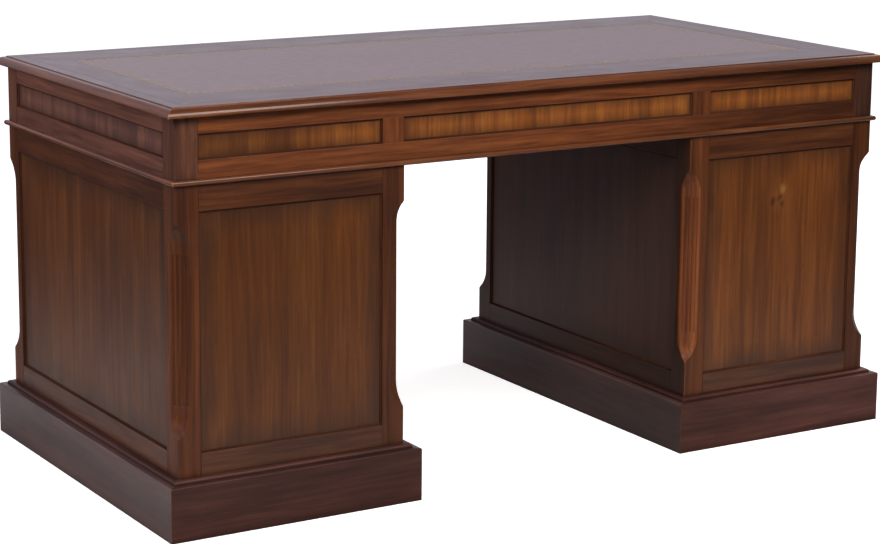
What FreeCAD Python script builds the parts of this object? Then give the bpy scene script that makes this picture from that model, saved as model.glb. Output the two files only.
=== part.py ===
import FreeCAD, Part
import Sketcher
import math
import os

# Pedestal partners desk, built as cabinet makers build it: a top section that lifts off two pedestals.
# Millimetres, +Z up, +X along the length. The panelled long side faces -Y, the drawers open towards +Y.
# The origin is on the floor, in the middle of the desk.

doc = FreeCAD.newDocument("PartnersDesk")
sheet = doc.addObject("Spreadsheet::Sheet", "Sizes")

drivingSizes = [
    # the whole desk
    ("deskHeight", 780, "floor to writing surface"),
    ("frameLength", 1584, "over the corner posts, along X"),
    ("frameDepth", 784, "over the corner posts, along Y"),
    ("pedestalWidth", 464, "one pedestal over its posts, along X"),
    # top
    ("topThickness", 17, "top board and its moulded edge"),
    ("topOverhang", 19, "tip of the moulded edge beyond the posts"),
    ("edgeStripWidth", 44, "moulded edge strip, tip to inner side"),
    ("edgeLandWidth", 17, "quirk to tip of the moulded edge"),
    ("quirkDepth", 2, "step between flat top and ovolo"),
    ("leatherThickness", 1.4, "leather let into the top board"),
    ("leatherInsetEnds", 90, "leather to post face at the two ends"),
    ("leatherInsetSides", 130, "leather to post face on the long sides"),
    # frieze
    ("friezeHeight", 113, "bead to underside of the top"),
    ("friezeTopRail", 33, "upper frieze rail, its height"),
    ("friezeBottomRail", 33, "lower frieze rail, its height"),
    ("muntinWidth", 44, "upright between two frieze panels"),
    ("beadThickness", 10, "astragal bead and the base boards behind it"),
    ("beadProjection", 8, "bead beyond the posts"),
    ("beadWidth", 24, "bead strip, nose to inner side"),
    # frames
    ("postWidth", 46, "square corner posts"),
    ("railThickness", 22, "rails and muntins"),
    ("panelThickness", 9, "flat panels"),
    ("panelRecess", 5, "panel face behind the frame face"),
    ("grooveDepth", 6, "panel tongue in posts and rails"),
    ("grooveClearance", 0.2, "tongue to groove, each side"),
    ("pedestalTopRail", 48, "upper pedestal rail, its height"),
    ("pedestalBottomRail", 49, "lower pedestal rail, its height"),
    # fluted, stopped chamfer of the pedestal posts
    ("chamferLeg", 28, "chamfer on each face of the post"),
    ("topBlock", 63, "square stretch above the chamfer"),
    ("bottomBlock", 74, "square stretch below the chamfer"),
    ("tongueLength", 50, "lamb's tongue at each end of the chamfer"),
    ("fluteRadius", 2.2, "flute, half its width"),
    ("flutePitch", 8.2, "flute to flute"),
    ("fluteEnd", 12, "end of the flutes to the lamb's tongue"),
    # plinth
    ("plinthHeight", 102, "plinth boards"),
    ("plinthOverhang", 26, "plinth beyond the posts"),
    ("plinthThickness", 44, "plinth boards, front to back"),
    ("plinthRounding", 3, "upper outer edge of the plinth"),
    ("capWidth", 13, "small moulding on the plinth ledge"),
    ("capHeight", 7, "small moulding, its height"),
    ("capRounding", 5, "small moulding, its ovolo"),
    ("cornerBlock", 30, "glue block inside a plinth corner"),
    ("blockRise", 12, "glue block above the floor"),
    # drawer side
    ("drawerRail", 14, "rail above and below the frieze drawers"),
    ("pedestalDrawerRail", 18, "rail between two pedestal drawers"),
    ("pedestalFootRail", 20, "rail under the lowest pedestal drawer"),
    ("topDrawerHeight", 144, "opening of the upper pedestal drawer"),
    ("middleDrawerHeight", 154, "opening of the middle pedestal drawer"),
    ("drawerGap", 1, "drawer front to its opening, all round"),
    ("drawerLength", 640, "front face to back, outside"),
    ("frontThickness", 20, "drawer front"),
    ("sideThickness", 10, "drawer sides and back"),
    ("bottomThickness", 6, "drawer bottom"),
    ("bottomRise", 6, "drawer bottom above the edge of the sides"),
    ("bottomTongue", 5, "drawer bottom into its grooves"),
    ("sideDrop", 6, "drawer sides below the top edge of the front"),
    ("slideClearance", 0.3, "drawer side to runner and guide"),
    ("runnerHeight", 16, "runner under a drawer side"),
    ("runnerReach", 14, "runner under the drawer, beyond the opening's edge"),
    ("guideHeight", 24, "guide beside a drawer"),
    ("boardThickness", 12, "top and bottom boards of a pedestal"),
    ("partitionThickness", 20, "partition between frieze drawers"),
    # dowels between top section and pedestals
    ("dowelRadius", 5, "locating dowel"),
    ("dowelInset", 70, "dowel to the outside of the posts"),
    ("dowelClearance", 0.1, "dowel to its hole"),
    # handles
    ("handleSpan", 88, "post to post of a swan-neck handle"),
    ("wideHandleOffset", 180, "handle to the middle of the wide drawer"),
    ("roseRadius", 11, "rose plate"),
    ("roseThickness", 2.5, "rose plate"),
    ("handleStandOff", 12, "pivot to drawer front"),
    ("handleRise", 12, "pivot above the middle of the drawer front"),
    ("handlePostRadius", 4, "neck of the handle post"),
    ("handleBallRadius", 5.6, "ball that holds the pivot"),
    ("boltRadius", 2.5, "bolt through the drawer front"),
    ("boltClearance", 0.2, "bolt to its hole"),
    ("nutRadius", 6, "round nut inside the drawer"),
    ("nutThickness", 4, "round nut inside the drawer"),
    ("bailRadius", 2.6, "brass rod of the bail"),
    ("bailDrop", 30, "pivot to the lowest stretch of the bail"),
    ("bailNeck", 16, "bail arm to the middle of its post"),
    ("pivotReach", 7.2, "end of the bail's pivot to the middle of its post"),
    ("bailBend", 9, "bends of the bail"),
    ("pivotClearance", 0.1, "bail in its hole"),
]


class Measure:
    """A length: its number, and the formula that the document keeps for it."""

    def __init__(self, value, formula):
        self.value = value
        self.formula = formula

    def __add__(self, other):
        other = measure(other)
        return Measure(self.value + other.value, f"({self.formula} + {other.formula})")

    def __sub__(self, other):
        other = measure(other)
        return Measure(self.value - other.value, f"({self.formula} - {other.formula})")

    def __mul__(self, other):
        other = measure(other)
        return Measure(self.value * other.value, f"({self.formula} * {other.formula})")

    def __truediv__(self, other):
        other = measure(other)
        return Measure(self.value / other.value, f"({self.formula} / {other.formula})")

    def __neg__(self):
        return Measure(-self.value, f"(0 - {self.formula})")


def measure(number):
    return number if isinstance(number, Measure) else Measure(float(number), repr(float(number)))


class Sizes:
    """The spreadsheet's cells as measures, by their aliases."""


size = Sizes()
for row, (alias, number, note) in enumerate(drivingSizes, start=1):
    sheet.set(f"A{row}", note)
    sheet.set(f"B{row}", str(number))
    sheet.setAlias(f"B{row}", alias)
    setattr(size, alias, Measure(float(number), f"Sizes.{alias}"))
doc.recompute()

# levels and faces

zero = measure(0)
faceX = size.frameLength / 2
faceY = size.frameDepth / 2
topUnderside = size.deskHeight - size.topThickness
friezeFoot = topUnderside - size.friezeHeight
pedestalTop = friezeFoot - size.beadThickness
pedestalFoot = size.plinthHeight
pedestalHeight = pedestalTop - pedestalFoot
pedestalInnerX = faceX - size.pedestalWidth
openingInnerX = pedestalInnerX + size.postWidth
openingOuterX = faceX - size.postWidth
openingY = faceY - size.postWidth
wideOpeningX = openingInnerX - size.muntinWidth

# helpers

nodes = []


def bind(thing, prop, length):
    thing.setExpression(prop, measure(length).formula)


def place(thing, x, y, z, turn=FreeCAD.Rotation()):
    thing.Placement = FreeCAD.Placement(FreeCAD.Vector(0, 0, 0), turn)
    bind(thing, ".Placement.Base.x", x)
    bind(thing, ".Placement.Base.y", y)
    bind(thing, ".Placement.Base.z", z)


def turnedAboutZ(degrees):
    return FreeCAD.Rotation(FreeCAD.Vector(0, 0, 1), degrees)


def board(name, x, y, z):
    """A plain board between two values on each axis."""
    box = doc.addObject("Part::Box", name)
    bind(box, "Length", measure(x[1]) - x[0])
    bind(box, "Width", measure(y[1]) - y[0])
    bind(box, "Height", measure(z[1]) - z[0])
    place(box, x[0], y[0], z[0])
    return box


def rod(name, radius, length, start, direction):
    """A round bar from its start, along a row axis."""
    bar = doc.addObject("Part::Cylinder", name)
    bind(bar, "Radius", radius)
    bind(bar, "Height", length)
    place(bar, *start, FreeCAD.Rotation(FreeCAD.Vector(0, 0, 1), FreeCAD.Vector(*direction)))
    return bar


def together(name, pieces):
    compound = doc.addObject("Part::Compound", name)
    compound.Links = pieces
    return compound


def cut(name, base, tools):
    """The base piece less one tool or more."""
    result = doc.addObject("Part::Cut", name)
    result.Base = base
    result.Tool = tools[0] if len(tools) == 1 else together(name + "Tools", tools)
    return result


def fuse(name, pieces):
    result = doc.addObject("Part::MultiFuse", name)
    result.Shapes = pieces
    return result


def keep(label, *pieces):
    """Names a finished node: one piece, or several separate ones side by side."""
    piece = pieces[0] if len(pieces) == 1 else together(label, list(pieces))
    piece.Label = label
    nodes.append(piece)


def newBody(name):
    return doc.addObject("PartDesign::Body", name)


def newSketch(body, name, role):
    sketch = body.newObject("Sketcher::SketchObject", name)
    plane = [plane for plane in body.Origin.OriginFeatures if plane.Role == role][0]
    sketch.AttachmentSupport = (plane, [""])
    sketch.MapMode = "FlatFace"
    return sketch


def arcBetween(here, there, radius, turn):
    """The shorter arc from here to there, bending to the left (1) or to the right (-1)."""
    chord = there - here
    rise = math.sqrt(max(radius**2 - chord.Length**2 / 4, 0))
    left = FreeCAD.Vector(-chord.y, chord.x, 0).normalize()
    centre = (here + there) / 2 + left * (turn * rise)
    start, end = (here, there) if turn > 0 else (there, here)
    startAngle = math.atan2(start.y - centre.y, start.x - centre.x)
    endAngle = math.atan2(end.y - centre.y, end.x - centre.x)
    if endAngle < startAngle:
        endAngle += 2 * math.pi
    circle = Part.Circle(centre, FreeCAD.Vector(0, 0, 1), radius)
    return Part.ArcOfCircle(circle, startAngle, endAngle)


def pinPoint(sketch, side, vertex, corner):
    """Ties one end of a side to its place from the sketch's origin."""
    for kind, axis, length in (("DistanceX", -2, corner[0]), ("DistanceY", -1, corner[1])):
        if length.value == 0:
            sketch.addConstraint(Sketcher.Constraint("PointOnObject", side, vertex, axis))
            continue
        number = sketch.addConstraint(Sketcher.Constraint(kind, -1, 1, side, vertex, length.value))
        bind(sketch, f"Constraints[{number}]", length)


def drawLine(sketch, corners, bends=None, closed=True):
    """Sides from corner to corner. bends gives (radius, turn) for the sides that are arcs."""
    bends = bends or {}
    corners = [(measure(x), measure(y)) for x, y in corners]
    places = [FreeCAD.Vector(x.value, y.value, 0) for x, y in corners]
    first = sketch.GeometryCount
    sides = len(corners) if closed else len(corners) - 1
    startVertex = [2 if side in bends and bends[side][1] < 0 else 1 for side in range(sides)]
    for side in range(sides):
        here, there = places[side], places[(side + 1) % len(places)]
        if side in bends:
            radius, turn = bends[side]
            sketch.addGeometry(arcBetween(here, there, measure(radius).value, turn), False)
        else:
            sketch.addGeometry(Part.LineSegment(here, there), False)
    for side in range(sides if closed else sides - 1):
        following = (side + 1) % sides
        ends = (first + side, 3 - startVertex[side], first + following, startVertex[following])
        sketch.addConstraint(Sketcher.Constraint("Coincident", *ends))
    for side in range(sides):
        pinPoint(sketch, first + side, startVertex[side], corners[side])
        if side in bends:
            radius = measure(bends[side][0])
            number = sketch.addConstraint(Sketcher.Constraint("Radius", first + side, radius.value))
            bind(sketch, f"Constraints[{number}]", radius)
    if not closed:
        pinPoint(sketch, first + sides - 1, 3 - startVertex[-1], corners[-1])


def pad(body, sketch, length):
    feature = body.newObject("PartDesign::Pad", body.Name + "Pad")
    feature.Profile = sketch
    bind(feature, "Length", length)
    return feature


def pocketThrough(body, sketch):
    feature = body.newObject("PartDesign::Pocket", body.Name + "Cut")
    feature.Profile = sketch
    feature.SideType = "Symmetric"
    feature.Type = "ThroughAll"
    return feature


# mitred strips


def mitredStrip(name, profile, bends, width, length):
    """A strip along +X whose outer side is +Y, with both ends cut to 45 degrees."""
    body = newBody(name)
    section = newSketch(body, name + "Section", "YZ_Plane")
    drawLine(section, profile, bends)
    pad(body, section, length)
    mitres = newSketch(body, name + "Mitres", "XY_Plane")
    drawLine(mitres, [(0, 0), (width, 0), (0, width)])
    drawLine(mitres, [(length - width, 0), (length, 0), (length, width)])
    pocketThrough(body, mitres)
    return body


def mitredFrame(name, low, high, foot, profile, bends, width):
    """Four mitred strips round a rectangle; low and high are its outer corners."""
    lengthX = high[0] - low[0]
    lengthY = high[1] - low[1]
    strips = (
        ("Back", lengthX, (low[0], high[1] - width), 0),
        ("Front", lengthX, (high[0], low[1] + width), 180),
        ("Right", lengthY, (high[0] - width, high[1]), -90),
        ("Left", lengthY, (low[0] + width, low[1]), 90),
    )
    pieces = []
    for side, length, corner, turn in strips:
        strip = mitredStrip(name + side, profile, bends, width, length)
        place(strip, *corner, foot, turnedAboutZ(turn))
        pieces.append(strip)
    return pieces


# top


def makeTop():
    tipX = faceX + size.topOverhang
    tipY = faceY + size.topOverhang
    ovolo = size.topThickness - size.quirkDepth
    width = size.edgeStripWidth
    edge = [
        (0, 0),
        (width, 0),
        (width - ovolo, ovolo),
        (width - size.edgeLandWidth, ovolo),
        (width - size.edgeLandWidth, size.topThickness),
        (0, size.topThickness),
    ]
    strips = mitredFrame("edge", (-tipX, -tipY), (tipX, tipY), topUnderside, edge, {1: (ovolo, 1)}, width)
    keep("edge_mouldings", *strips)

    boardX = tipX - width
    boardY = tipY - width
    leatherX = faceX - size.leatherInsetEnds
    leatherY = faceY - size.leatherInsetSides
    leatherFoot = size.deskHeight - size.leatherThickness
    blank = board("topBlank", (-boardX, boardX), (-boardY, boardY), (topUnderside, size.deskHeight))
    leather = ((-leatherX, leatherX), (-leatherY, leatherY), (leatherFoot, size.deskHeight))
    keep("writing_leather", board("leather", *leather))
    keep("top_board", cut("topBoard", blank, [board("leatherSinking", *leather)]))


# panelled frames


def framedPanel(name, span, height, face, outward, alongX):
    """A flat panel behind a frame face, and the groove that its tongue fills in the frame.

    span and height are the visible opening, and outward (1 or -1) is where the frame face looks.
    """
    front = face - size.panelRecess * outward
    back = front - size.panelThickness * outward
    low, high = (back, front) if outward > 0 else (front, back)
    pieces = []
    for label, spare in ((name, zero), (name + "Groove", size.grooveClearance)):
        reach = size.grooveDepth + spare
        across = (span[0] - reach, span[1] + reach)
        depth = (low - spare, high + spare)
        level = (height[0] - reach, height[1] + reach)
        spans = (across, depth, level) if alongX else (depth, across, level)
        pieces.append(board(label, *spans))
    return pieces


def railPair(name, span, height, whole, face, outward, alongX, grooves):
    """The rails above and below a panelled opening, grooved for their panels."""
    inner = face - size.railThickness * outward
    depth = (inner, face) if outward > 0 else (face, inner)
    pieces = []
    for label, level in (("Lower", (whole[0], height[0])), ("Upper", (height[1], whole[1]))):
        spans = (span, depth, level) if alongX else (depth, span, level)
        blank = board(name + label + "Blank", *spans)
        pieces.append(cut(name + label, blank, grooves))
    return pieces


def makeFrieze():
    whole = (friezeFoot, topUnderside)
    height = (friezeFoot + size.friezeBottomRail, topUnderside - size.friezeTopRail)
    longSpans = (
        ("friezePanelLeft", (-openingOuterX, -openingInnerX)),
        ("friezePanelMiddle", (-wideOpeningX, wideOpeningX)),
        ("friezePanelRight", (openingInnerX, openingOuterX)),
    )
    left, middle, right = [
        framedPanel(name, span, height, -faceY, -1, True) for name, span in longSpans
    ]
    endSpan = (-openingY, openingY)
    endLeft = framedPanel("friezeEndLeft", endSpan, height, -faceX, -1, False)
    endRight = framedPanel("friezeEndRight", endSpan, height, faceX, 1, False)
    keep("frieze_panels", *[panel for panel, groove in (left, middle, right, endLeft, endRight)])

    longSpan = (-openingOuterX, openingOuterX)
    longGrooves = [left[1], middle[1], right[1]]
    rails = railPair("friezeRail", longSpan, height, whole, -faceY, -1, True, longGrooves)
    rails += railPair("friezeLeftRail", endSpan, height, whole, -faceX, -1, False, [endLeft[1]])
    rails += railPair("friezeRightRail", endSpan, height, whole, faceX, 1, False, [endRight[1]])
    depth = (-faceY, -faceY + size.railThickness)
    leftMuntin = board("leftMuntinBlank", (-openingInnerX, -wideOpeningX), depth, height)
    rightMuntin = board("rightMuntinBlank", (wideOpeningX, openingInnerX), depth, height)
    rails.append(cut("leftMuntin", leftMuntin, [left[1], middle[1]]))
    rails.append(cut("rightMuntin", rightMuntin, [middle[1], right[1]]))
    keep("frieze_rails", *rails)

    posts = []
    corners = (
        ("FrontLeft", (-faceX, -openingOuterX), (-faceY, -openingY), [left[1], endLeft[1]]),
        ("FrontRight", (openingOuterX, faceX), (-faceY, -openingY), [right[1], endRight[1]]),
        ("BackLeft", (-faceX, -openingOuterX), (openingY, faceY), [endLeft[1]]),
        ("BackRight", (openingOuterX, faceX), (openingY, faceY), [endRight[1]]),
    )
    for name, x, y, grooves in corners:
        blank = board("friezePostBlank" + name, x, y, whole)
        posts.append(cut("friezePost" + name, blank, grooves))
    keep("frieze_posts", *posts)


# pedestal posts


def flutedPost(name):
    """A square post whose outer corner carries a stopped chamfer with four flutes.

    It stands on the body's origin, and its outer corner lies at postWidth on X and on Y.
    """
    body = newBody(name)
    square = newSketch(body, name + "Square", "XY_Plane")
    width = size.postWidth
    drawLine(square, [(0, 0), (width, 0), (width, width), (0, width)])
    pad(body, square, pedestalHeight)

    diagonal = FreeCAD.Rotation(FreeCAD.Vector(0, 1, 0), 45)
    cornerAt = width * math.sqrt(2)
    depth = size.chamferLeg / math.sqrt(2)
    chamferAt = cornerAt - depth
    beyond = cornerAt + depth
    low = size.bottomBlock
    high = pedestalHeight - size.topBlock
    tongue = size.tongueLength
    bothBends = (tongue * tongue + depth * depth) / (depth * 2)
    shoulder = 1 / 7
    profile = [
        (cornerAt, low),
        (cornerAt - depth * shoulder, low + tongue * shoulder),
        (chamferAt, low + tongue),
        (chamferAt, high - tongue),
        (cornerAt - depth * shoulder, high - tongue * shoulder),
        (cornerAt, high),
        (beyond, high),
        (beyond, low),
    ]
    tight = bothBends * shoulder
    wide = bothBends * (1 - shoulder)
    stop = newSketch(body, name + "Chamfer", "XZ_Plane")
    stop.AttachmentOffset = FreeCAD.Placement(FreeCAD.Vector(0, 0, 0), diagonal)
    drawLine(stop, profile, {0: (tight, 1), 1: (wide, -1), 3: (wide, -1), 4: (tight, 1)})
    chamfer = body.newObject("PartDesign::Pocket", name + "ChamferCut")
    chamfer.Profile = stop
    chamfer.SideType = "Symmetric"
    bind(chamfer, "Length", depth * 3)

    flute = newSketch(body, name + "Flute", "XZ_Plane")
    flute.AttachmentOffset = FreeCAD.Placement(FreeCAD.Vector(0, 0, 0), diagonal)
    bind(flute, ".AttachmentOffset.Base.x", (chamferAt - size.flutePitch * 1.5) / math.sqrt(2))
    bind(flute, ".AttachmentOffset.Base.z", -(chamferAt + size.flutePitch * 1.5) / math.sqrt(2))
    foot = low + tongue + size.fluteEnd
    head = high - tongue - size.fluteEnd
    radius = size.fluteRadius
    half = [(0, foot), (radius, foot + radius), (radius, head - radius), (0, head)]
    drawLine(flute, half, {0: (radius, 1), 2: (radius, 1)})
    groove = body.newObject("PartDesign::Groove", name + "FluteCut")
    groove.Profile = flute
    groove.ReferenceAxis = (flute, ["V_Axis"])
    groove.Angle = 360
    flutes = body.newObject("PartDesign::LinearPattern", name + "Flutes")
    flutes.Originals = [groove]
    flutes.Direction = (flute, ["N_Axis"])
    bind(flutes, "Length", size.flutePitch * 3)
    flutes.Occurrences = 4
    body.Tip = flutes
    return body


# pedestals


def drawerLevels():
    """The heights of the three drawer openings of a pedestal, from the top."""
    upperTop = pedestalTop - size.pedestalDrawerRail
    upper = (upperTop - size.topDrawerHeight, upperTop)
    middleTop = upper[0] - size.pedestalDrawerRail
    middle = (middleTop - size.middleDrawerHeight, middleTop)
    lower = (pedestalFoot + size.pedestalFootRail, middle[0] - size.pedestalDrawerRail)
    return upper, middle, lower


def bearers(name, wall, opening, level, foot, side):
    """The runner and the guide along one side of a drawer.

    wall is what they are fixed to, opening the edge of the drawer's opening, and side is 1 where
    the drawer lies on the +X side of the wall.
    """
    runnerEdge = opening + size.runnerReach * side
    guideEdge = opening + (size.drawerGap - size.slideClearance) * side
    runnerX = (wall, runnerEdge) if side > 0 else (runnerEdge, wall)
    guideX = (wall, guideEdge) if side > 0 else (guideEdge, wall)
    length = (-openingY, openingY)
    runner = board(name + "Runner", runnerX, length, (foot, level))
    guide = board(name + "Guide", guideX, length, (level, level + size.guideHeight))
    return [runner, guide]


def makePedestal(side, low, high):
    whole = (pedestalFoot, pedestalTop)
    height = (pedestalFoot + size.pedestalBottomRail, pedestalTop - size.pedestalTopRail)
    openingX = (low + size.postWidth, high - size.postWidth)
    depthSpan = (-openingY, openingY)
    long = framedPanel(side + "LongPanel", openingX, height, -faceY, -1, True)
    lowEnd = framedPanel(side + "LowPanel", depthSpan, height, low, -1, False)
    highEnd = framedPanel(side + "HighPanel", depthSpan, height, high, 1, False)
    keep(side + "_pedestal_panels", long[0], lowEnd[0], highEnd[0])

    rails = railPair(side + "LongRail", openingX, height, whole, -faceY, -1, True, [long[1]])
    rails += railPair(side + "LowRail", depthSpan, height, whole, low, -1, False, [lowEnd[1]])
    rails += railPair(side + "HighRail", depthSpan, height, whole, high, 1, False, [highEnd[1]])
    keep(side + "_pedestal_rails", *rails)

    posts = []
    corners = (
        ("BackHigh", (openingX[1], openingY), 0, [highEnd[1]]),
        ("BackLow", (openingX[0], openingY), 90, [lowEnd[1]]),
        ("FrontLow", (openingX[0], -openingY), 180, [long[1], lowEnd[1]]),
        ("FrontHigh", (openingX[1], -openingY), 270, [long[1], highEnd[1]]),
    )
    for name, corner, turn, grooves in corners:
        body = flutedPost(side + "Post" + name)
        place(body, *corner, pedestalFoot, turnedAboutZ(turn))
        posts.append(cut(side + "GroovedPost" + name, body, grooves))
    keep(side + "_pedestal_posts", *posts)

    upper, middle, lower = drawerLevels()
    railLevels = (
        ("Top", (upper[1], pedestalTop)),
        ("UpperMiddle", (middle[1], upper[0])),
        ("LowerMiddle", (lower[1], middle[0])),
        ("Foot", (pedestalFoot, lower[0])),
    )
    railY = (openingY, faceY)
    keep(
        side + "_drawer_rails",
        *[board(side + "DrawerRail" + name, openingX, railY, level) for name, level in railLevels],
    )

    wallX = (low + size.railThickness, high - size.railThickness)
    floorTop = pedestalFoot + size.boardThickness
    inside = []
    for name, level, foot in (
        ("Upper", upper[0], upper[0] - size.runnerHeight),
        ("Middle", middle[0], middle[0] - size.runnerHeight),
        ("Lower", lower[0], floorTop),
    ):
        inside += bearers(side + name + "Low", wallX[0], openingX[0], level, foot, 1)
        inside += bearers(side + name + "High", wallX[1], openingX[1], level, foot, -1)
    inside.append(board(side + "FloorBoard", wallX, depthSpan, (pedestalFoot, floorTop)))
    ceiling = (pedestalTop - size.boardThickness, pedestalTop)
    ceilingBlank = board(side + "CeilingBlank", wallX, depthSpan, ceiling)
    holes = dowels(side + "Hole", low, high, size.dowelRadius + size.dowelClearance)
    inside.append(cut(side + "CeilingBoard", ceilingBlank, holes))
    keep(side + "_pedestal_bearers", *inside)

    makePlinth(side, low, high)
    return holes


def dowels(name, low, high, radius):
    """Four dowels, or their holes, through a pedestal's ceiling board and the base board on it."""
    foot = pedestalTop - size.boardThickness
    insetY = faceY - size.dowelInset
    pins = []
    for number, (x, y) in enumerate(
        (
            (low + size.dowelInset, -insetY),
            (low + size.dowelInset, insetY),
            (high - size.dowelInset, -insetY),
            (high - size.dowelInset, insetY),
        )
    ):
        pins.append(rod(f"{name}{number}", radius, friezeFoot - foot, (x, y, foot), (0, 0, 1)))
    return pins


def makePlinth(side, low, high):
    over = size.plinthOverhang
    thick = size.plinthThickness
    outerLow = (low - over, -faceY - over)
    outerHigh = (high + over, faceY + over)
    rounding = size.plinthRounding
    tall = size.plinthHeight
    section = [(0, 0), (thick, 0), (thick, tall - rounding), (thick - rounding, tall), (0, tall)]
    boards = mitredFrame(side + "Plinth", outerLow, outerHigh, zero, section, {2: (rounding, 1)}, thick)

    wide = size.capWidth
    rise = size.capHeight
    bend = size.capRounding
    section = [(0, 0), (wide, 0), (wide, rise - bend), (wide - bend, rise), (0, rise)]
    capLow = (low - wide, -faceY - wide)
    capHigh = (high + wide, faceY + wide)
    caps = mitredFrame(side + "Cap", capLow, capHigh, tall, section, {2: (bend, 1)}, wide)

    blocks = []
    innerLow = (outerLow[0] + thick, outerLow[1] + thick)
    innerHigh = (outerHigh[0] - thick, outerHigh[1] - thick)
    blockX = ((innerLow[0], innerLow[0] + size.cornerBlock), (innerHigh[0] - size.cornerBlock, innerHigh[0]))
    blockY = ((innerLow[1], innerLow[1] + size.cornerBlock), (innerHigh[1] - size.cornerBlock, innerHigh[1]))
    for column, x in enumerate(blockX):
        for line, y in enumerate(blockY):
            blocks.append(board(f"{side}Block{column}{line}", x, y, (size.blockRise, tall)))
    keep(side + "_plinth", *boards, *caps, *blocks)


# base of the top section


def makeBase(leftHoles, rightHoles):
    nose = size.beadThickness / 2
    wide = size.beadWidth
    section = [
        (0, 0),
        (wide - nose, 0),
        (wide, nose),
        (wide - nose, size.beadThickness),
        (0, size.beadThickness),
    ]
    tip = (faceX + size.beadProjection, faceY + size.beadProjection)
    strips = mitredFrame(
        "bead", (-tip[0], -tip[1]), tip, pedestalTop, section, {1: (nose, 1), 2: (nose, 1)}, wide
    )
    keep("bead_mouldings", *strips)

    level = (pedestalTop, friezeFoot)
    outerX = tip[0] - wide
    depth = (-(tip[1] - wide), tip[1] - wide)
    leftBlank = board("leftBaseBlank", (-outerX, -pedestalInnerX), depth, level)
    rightBlank = board("rightBaseBlank", (pedestalInnerX, outerX), depth, level)
    keep(
        "base_boards",
        cut("leftBase", leftBlank, leftHoles),
        board("middleBase", (-pedestalInnerX, pedestalInnerX), depth, level),
        cut("rightBase", rightBlank, rightHoles),
    )
    pins = dowels("leftDowel", -faceX, -pedestalInnerX, size.dowelRadius)
    pins += dowels("rightDowel", pedestalInnerX, faceX, size.dowelRadius)
    keep("locating_dowels", *pins)


def friezeDrawerLevel():
    return (friezeFoot + size.drawerRail, topUnderside - size.drawerRail)


def makeFriezeDrawerSide():
    level = friezeDrawerLevel()
    railY = (openingY, faceY)
    span = (-openingOuterX, openingOuterX)
    keep(
        "frieze_drawer_rails",
        board("friezeDrawerRailLower", span, railY, (friezeFoot, level[0])),
        board("friezeDrawerRailUpper", span, railY, (level[1], topUnderside)),
        board("leftDivider", (-openingInnerX, -wideOpeningX), railY, level),
        board("rightDivider", (wideOpeningX, openingInnerX), railY, level),
    )

    half = size.partitionThickness / 2
    partitionX = (openingInnerX + wideOpeningX) / 2
    partitionY = (-faceY + size.railThickness, openingY)
    endWall = faceX - size.railThickness
    pieces = []
    for name, middle in (("leftPartition", -partitionX), ("rightPartition", partitionX)):
        pieces.append(board(name, (middle - half, middle + half), partitionY, (friezeFoot, topUnderside)))
    for name, wall, opening, side in (
        ("leftOuter", -endWall, -openingOuterX, 1),
        ("leftInner", -partitionX - half, -openingInnerX, -1),
        ("wideLeft", -partitionX + half, -wideOpeningX, 1),
        ("wideRight", partitionX - half, wideOpeningX, -1),
        ("rightInner", partitionX + half, openingInnerX, 1),
        ("rightOuter", endWall, openingOuterX, -1),
    ):
        pieces += bearers(name, wall, opening, level[0], friezeFoot, side)
    keep("frieze_bearers", *pieces)


# drawers and their handles


def makeDrawer(name, opening, level, handlesAt):
    gap = size.drawerGap
    side = size.sideThickness
    wide = (opening[0] + gap, opening[1] - gap)
    tall = (level[0] + gap, level[1] - gap)
    inside = (wide[0] + side, wide[1] - side)
    frontBack = faceY - size.frontThickness
    end = faceY - size.drawerLength
    sideLevel = (level[0] + size.slideClearance, tall[1] - size.sideDrop)
    bottomLevel = (sideLevel[0] + size.bottomRise, sideLevel[0] + size.bottomRise + size.bottomThickness)

    tongue = size.bottomTongue
    spare = size.grooveClearance
    bottomX = (inside[0] - tongue, inside[1] + tongue)
    bottomY = (end, frontBack + tongue)
    bottom = board(name + "Bottom", bottomX, bottomY, bottomLevel)
    groove = board(
        name + "BottomGroove",
        (bottomX[0] - spare, bottomX[1] + spare),
        (bottomY[0] - spare, bottomY[1] + spare),
        (bottomLevel[0] - spare, bottomLevel[1] + spare),
    )
    leftBlank = board(name + "LeftBlank", (wide[0], inside[0]), (end, frontBack), sideLevel)
    rightBlank = board(name + "RightBlank", (inside[1], wide[1]), (end, frontBack), sideLevel)
    keep(
        name + "_drawer_box",
        cut(name + "Left", leftBlank, [groove]),
        cut(name + "Right", rightBlank, [groove]),
        board(name + "Back", inside, (end, end + side), (bottomLevel[1], sideLevel[1])),
        bottom,
    )

    pivotLevel = (tall[0] + tall[1]) / 2 + size.handleRise
    mounts = []
    holes = [groove]
    for number, middle in enumerate(handlesAt):
        for sign in (-1, 1):
            label = f"{name}Mount{number}{'Left' if sign < 0 else 'Right'}"
            at = middle + size.handleSpan / 2 * sign
            mounts += handleMount(label, at, pivotLevel)
            hole = size.boltRadius + size.boltClearance
            start = (at, frontBack, pivotLevel)
            holes.append(rod(label + "BoltHole", hole, size.frontThickness, start, (0, 1, 0)))
        suffix = "" if len(handlesAt) == 1 else ("_left", "_right")[number]
        keep(name + "_bail" + suffix, makeBail(f"{name}Bail{number}", middle, pivotLevel))
    keep(name + "_handle_mounts", *mounts)
    frontBlank = board(name + "FrontBlank", wide, (frontBack, faceY), tall)
    keep(name + "_drawer_front", cut(name + "Front", frontBlank, holes))


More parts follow.
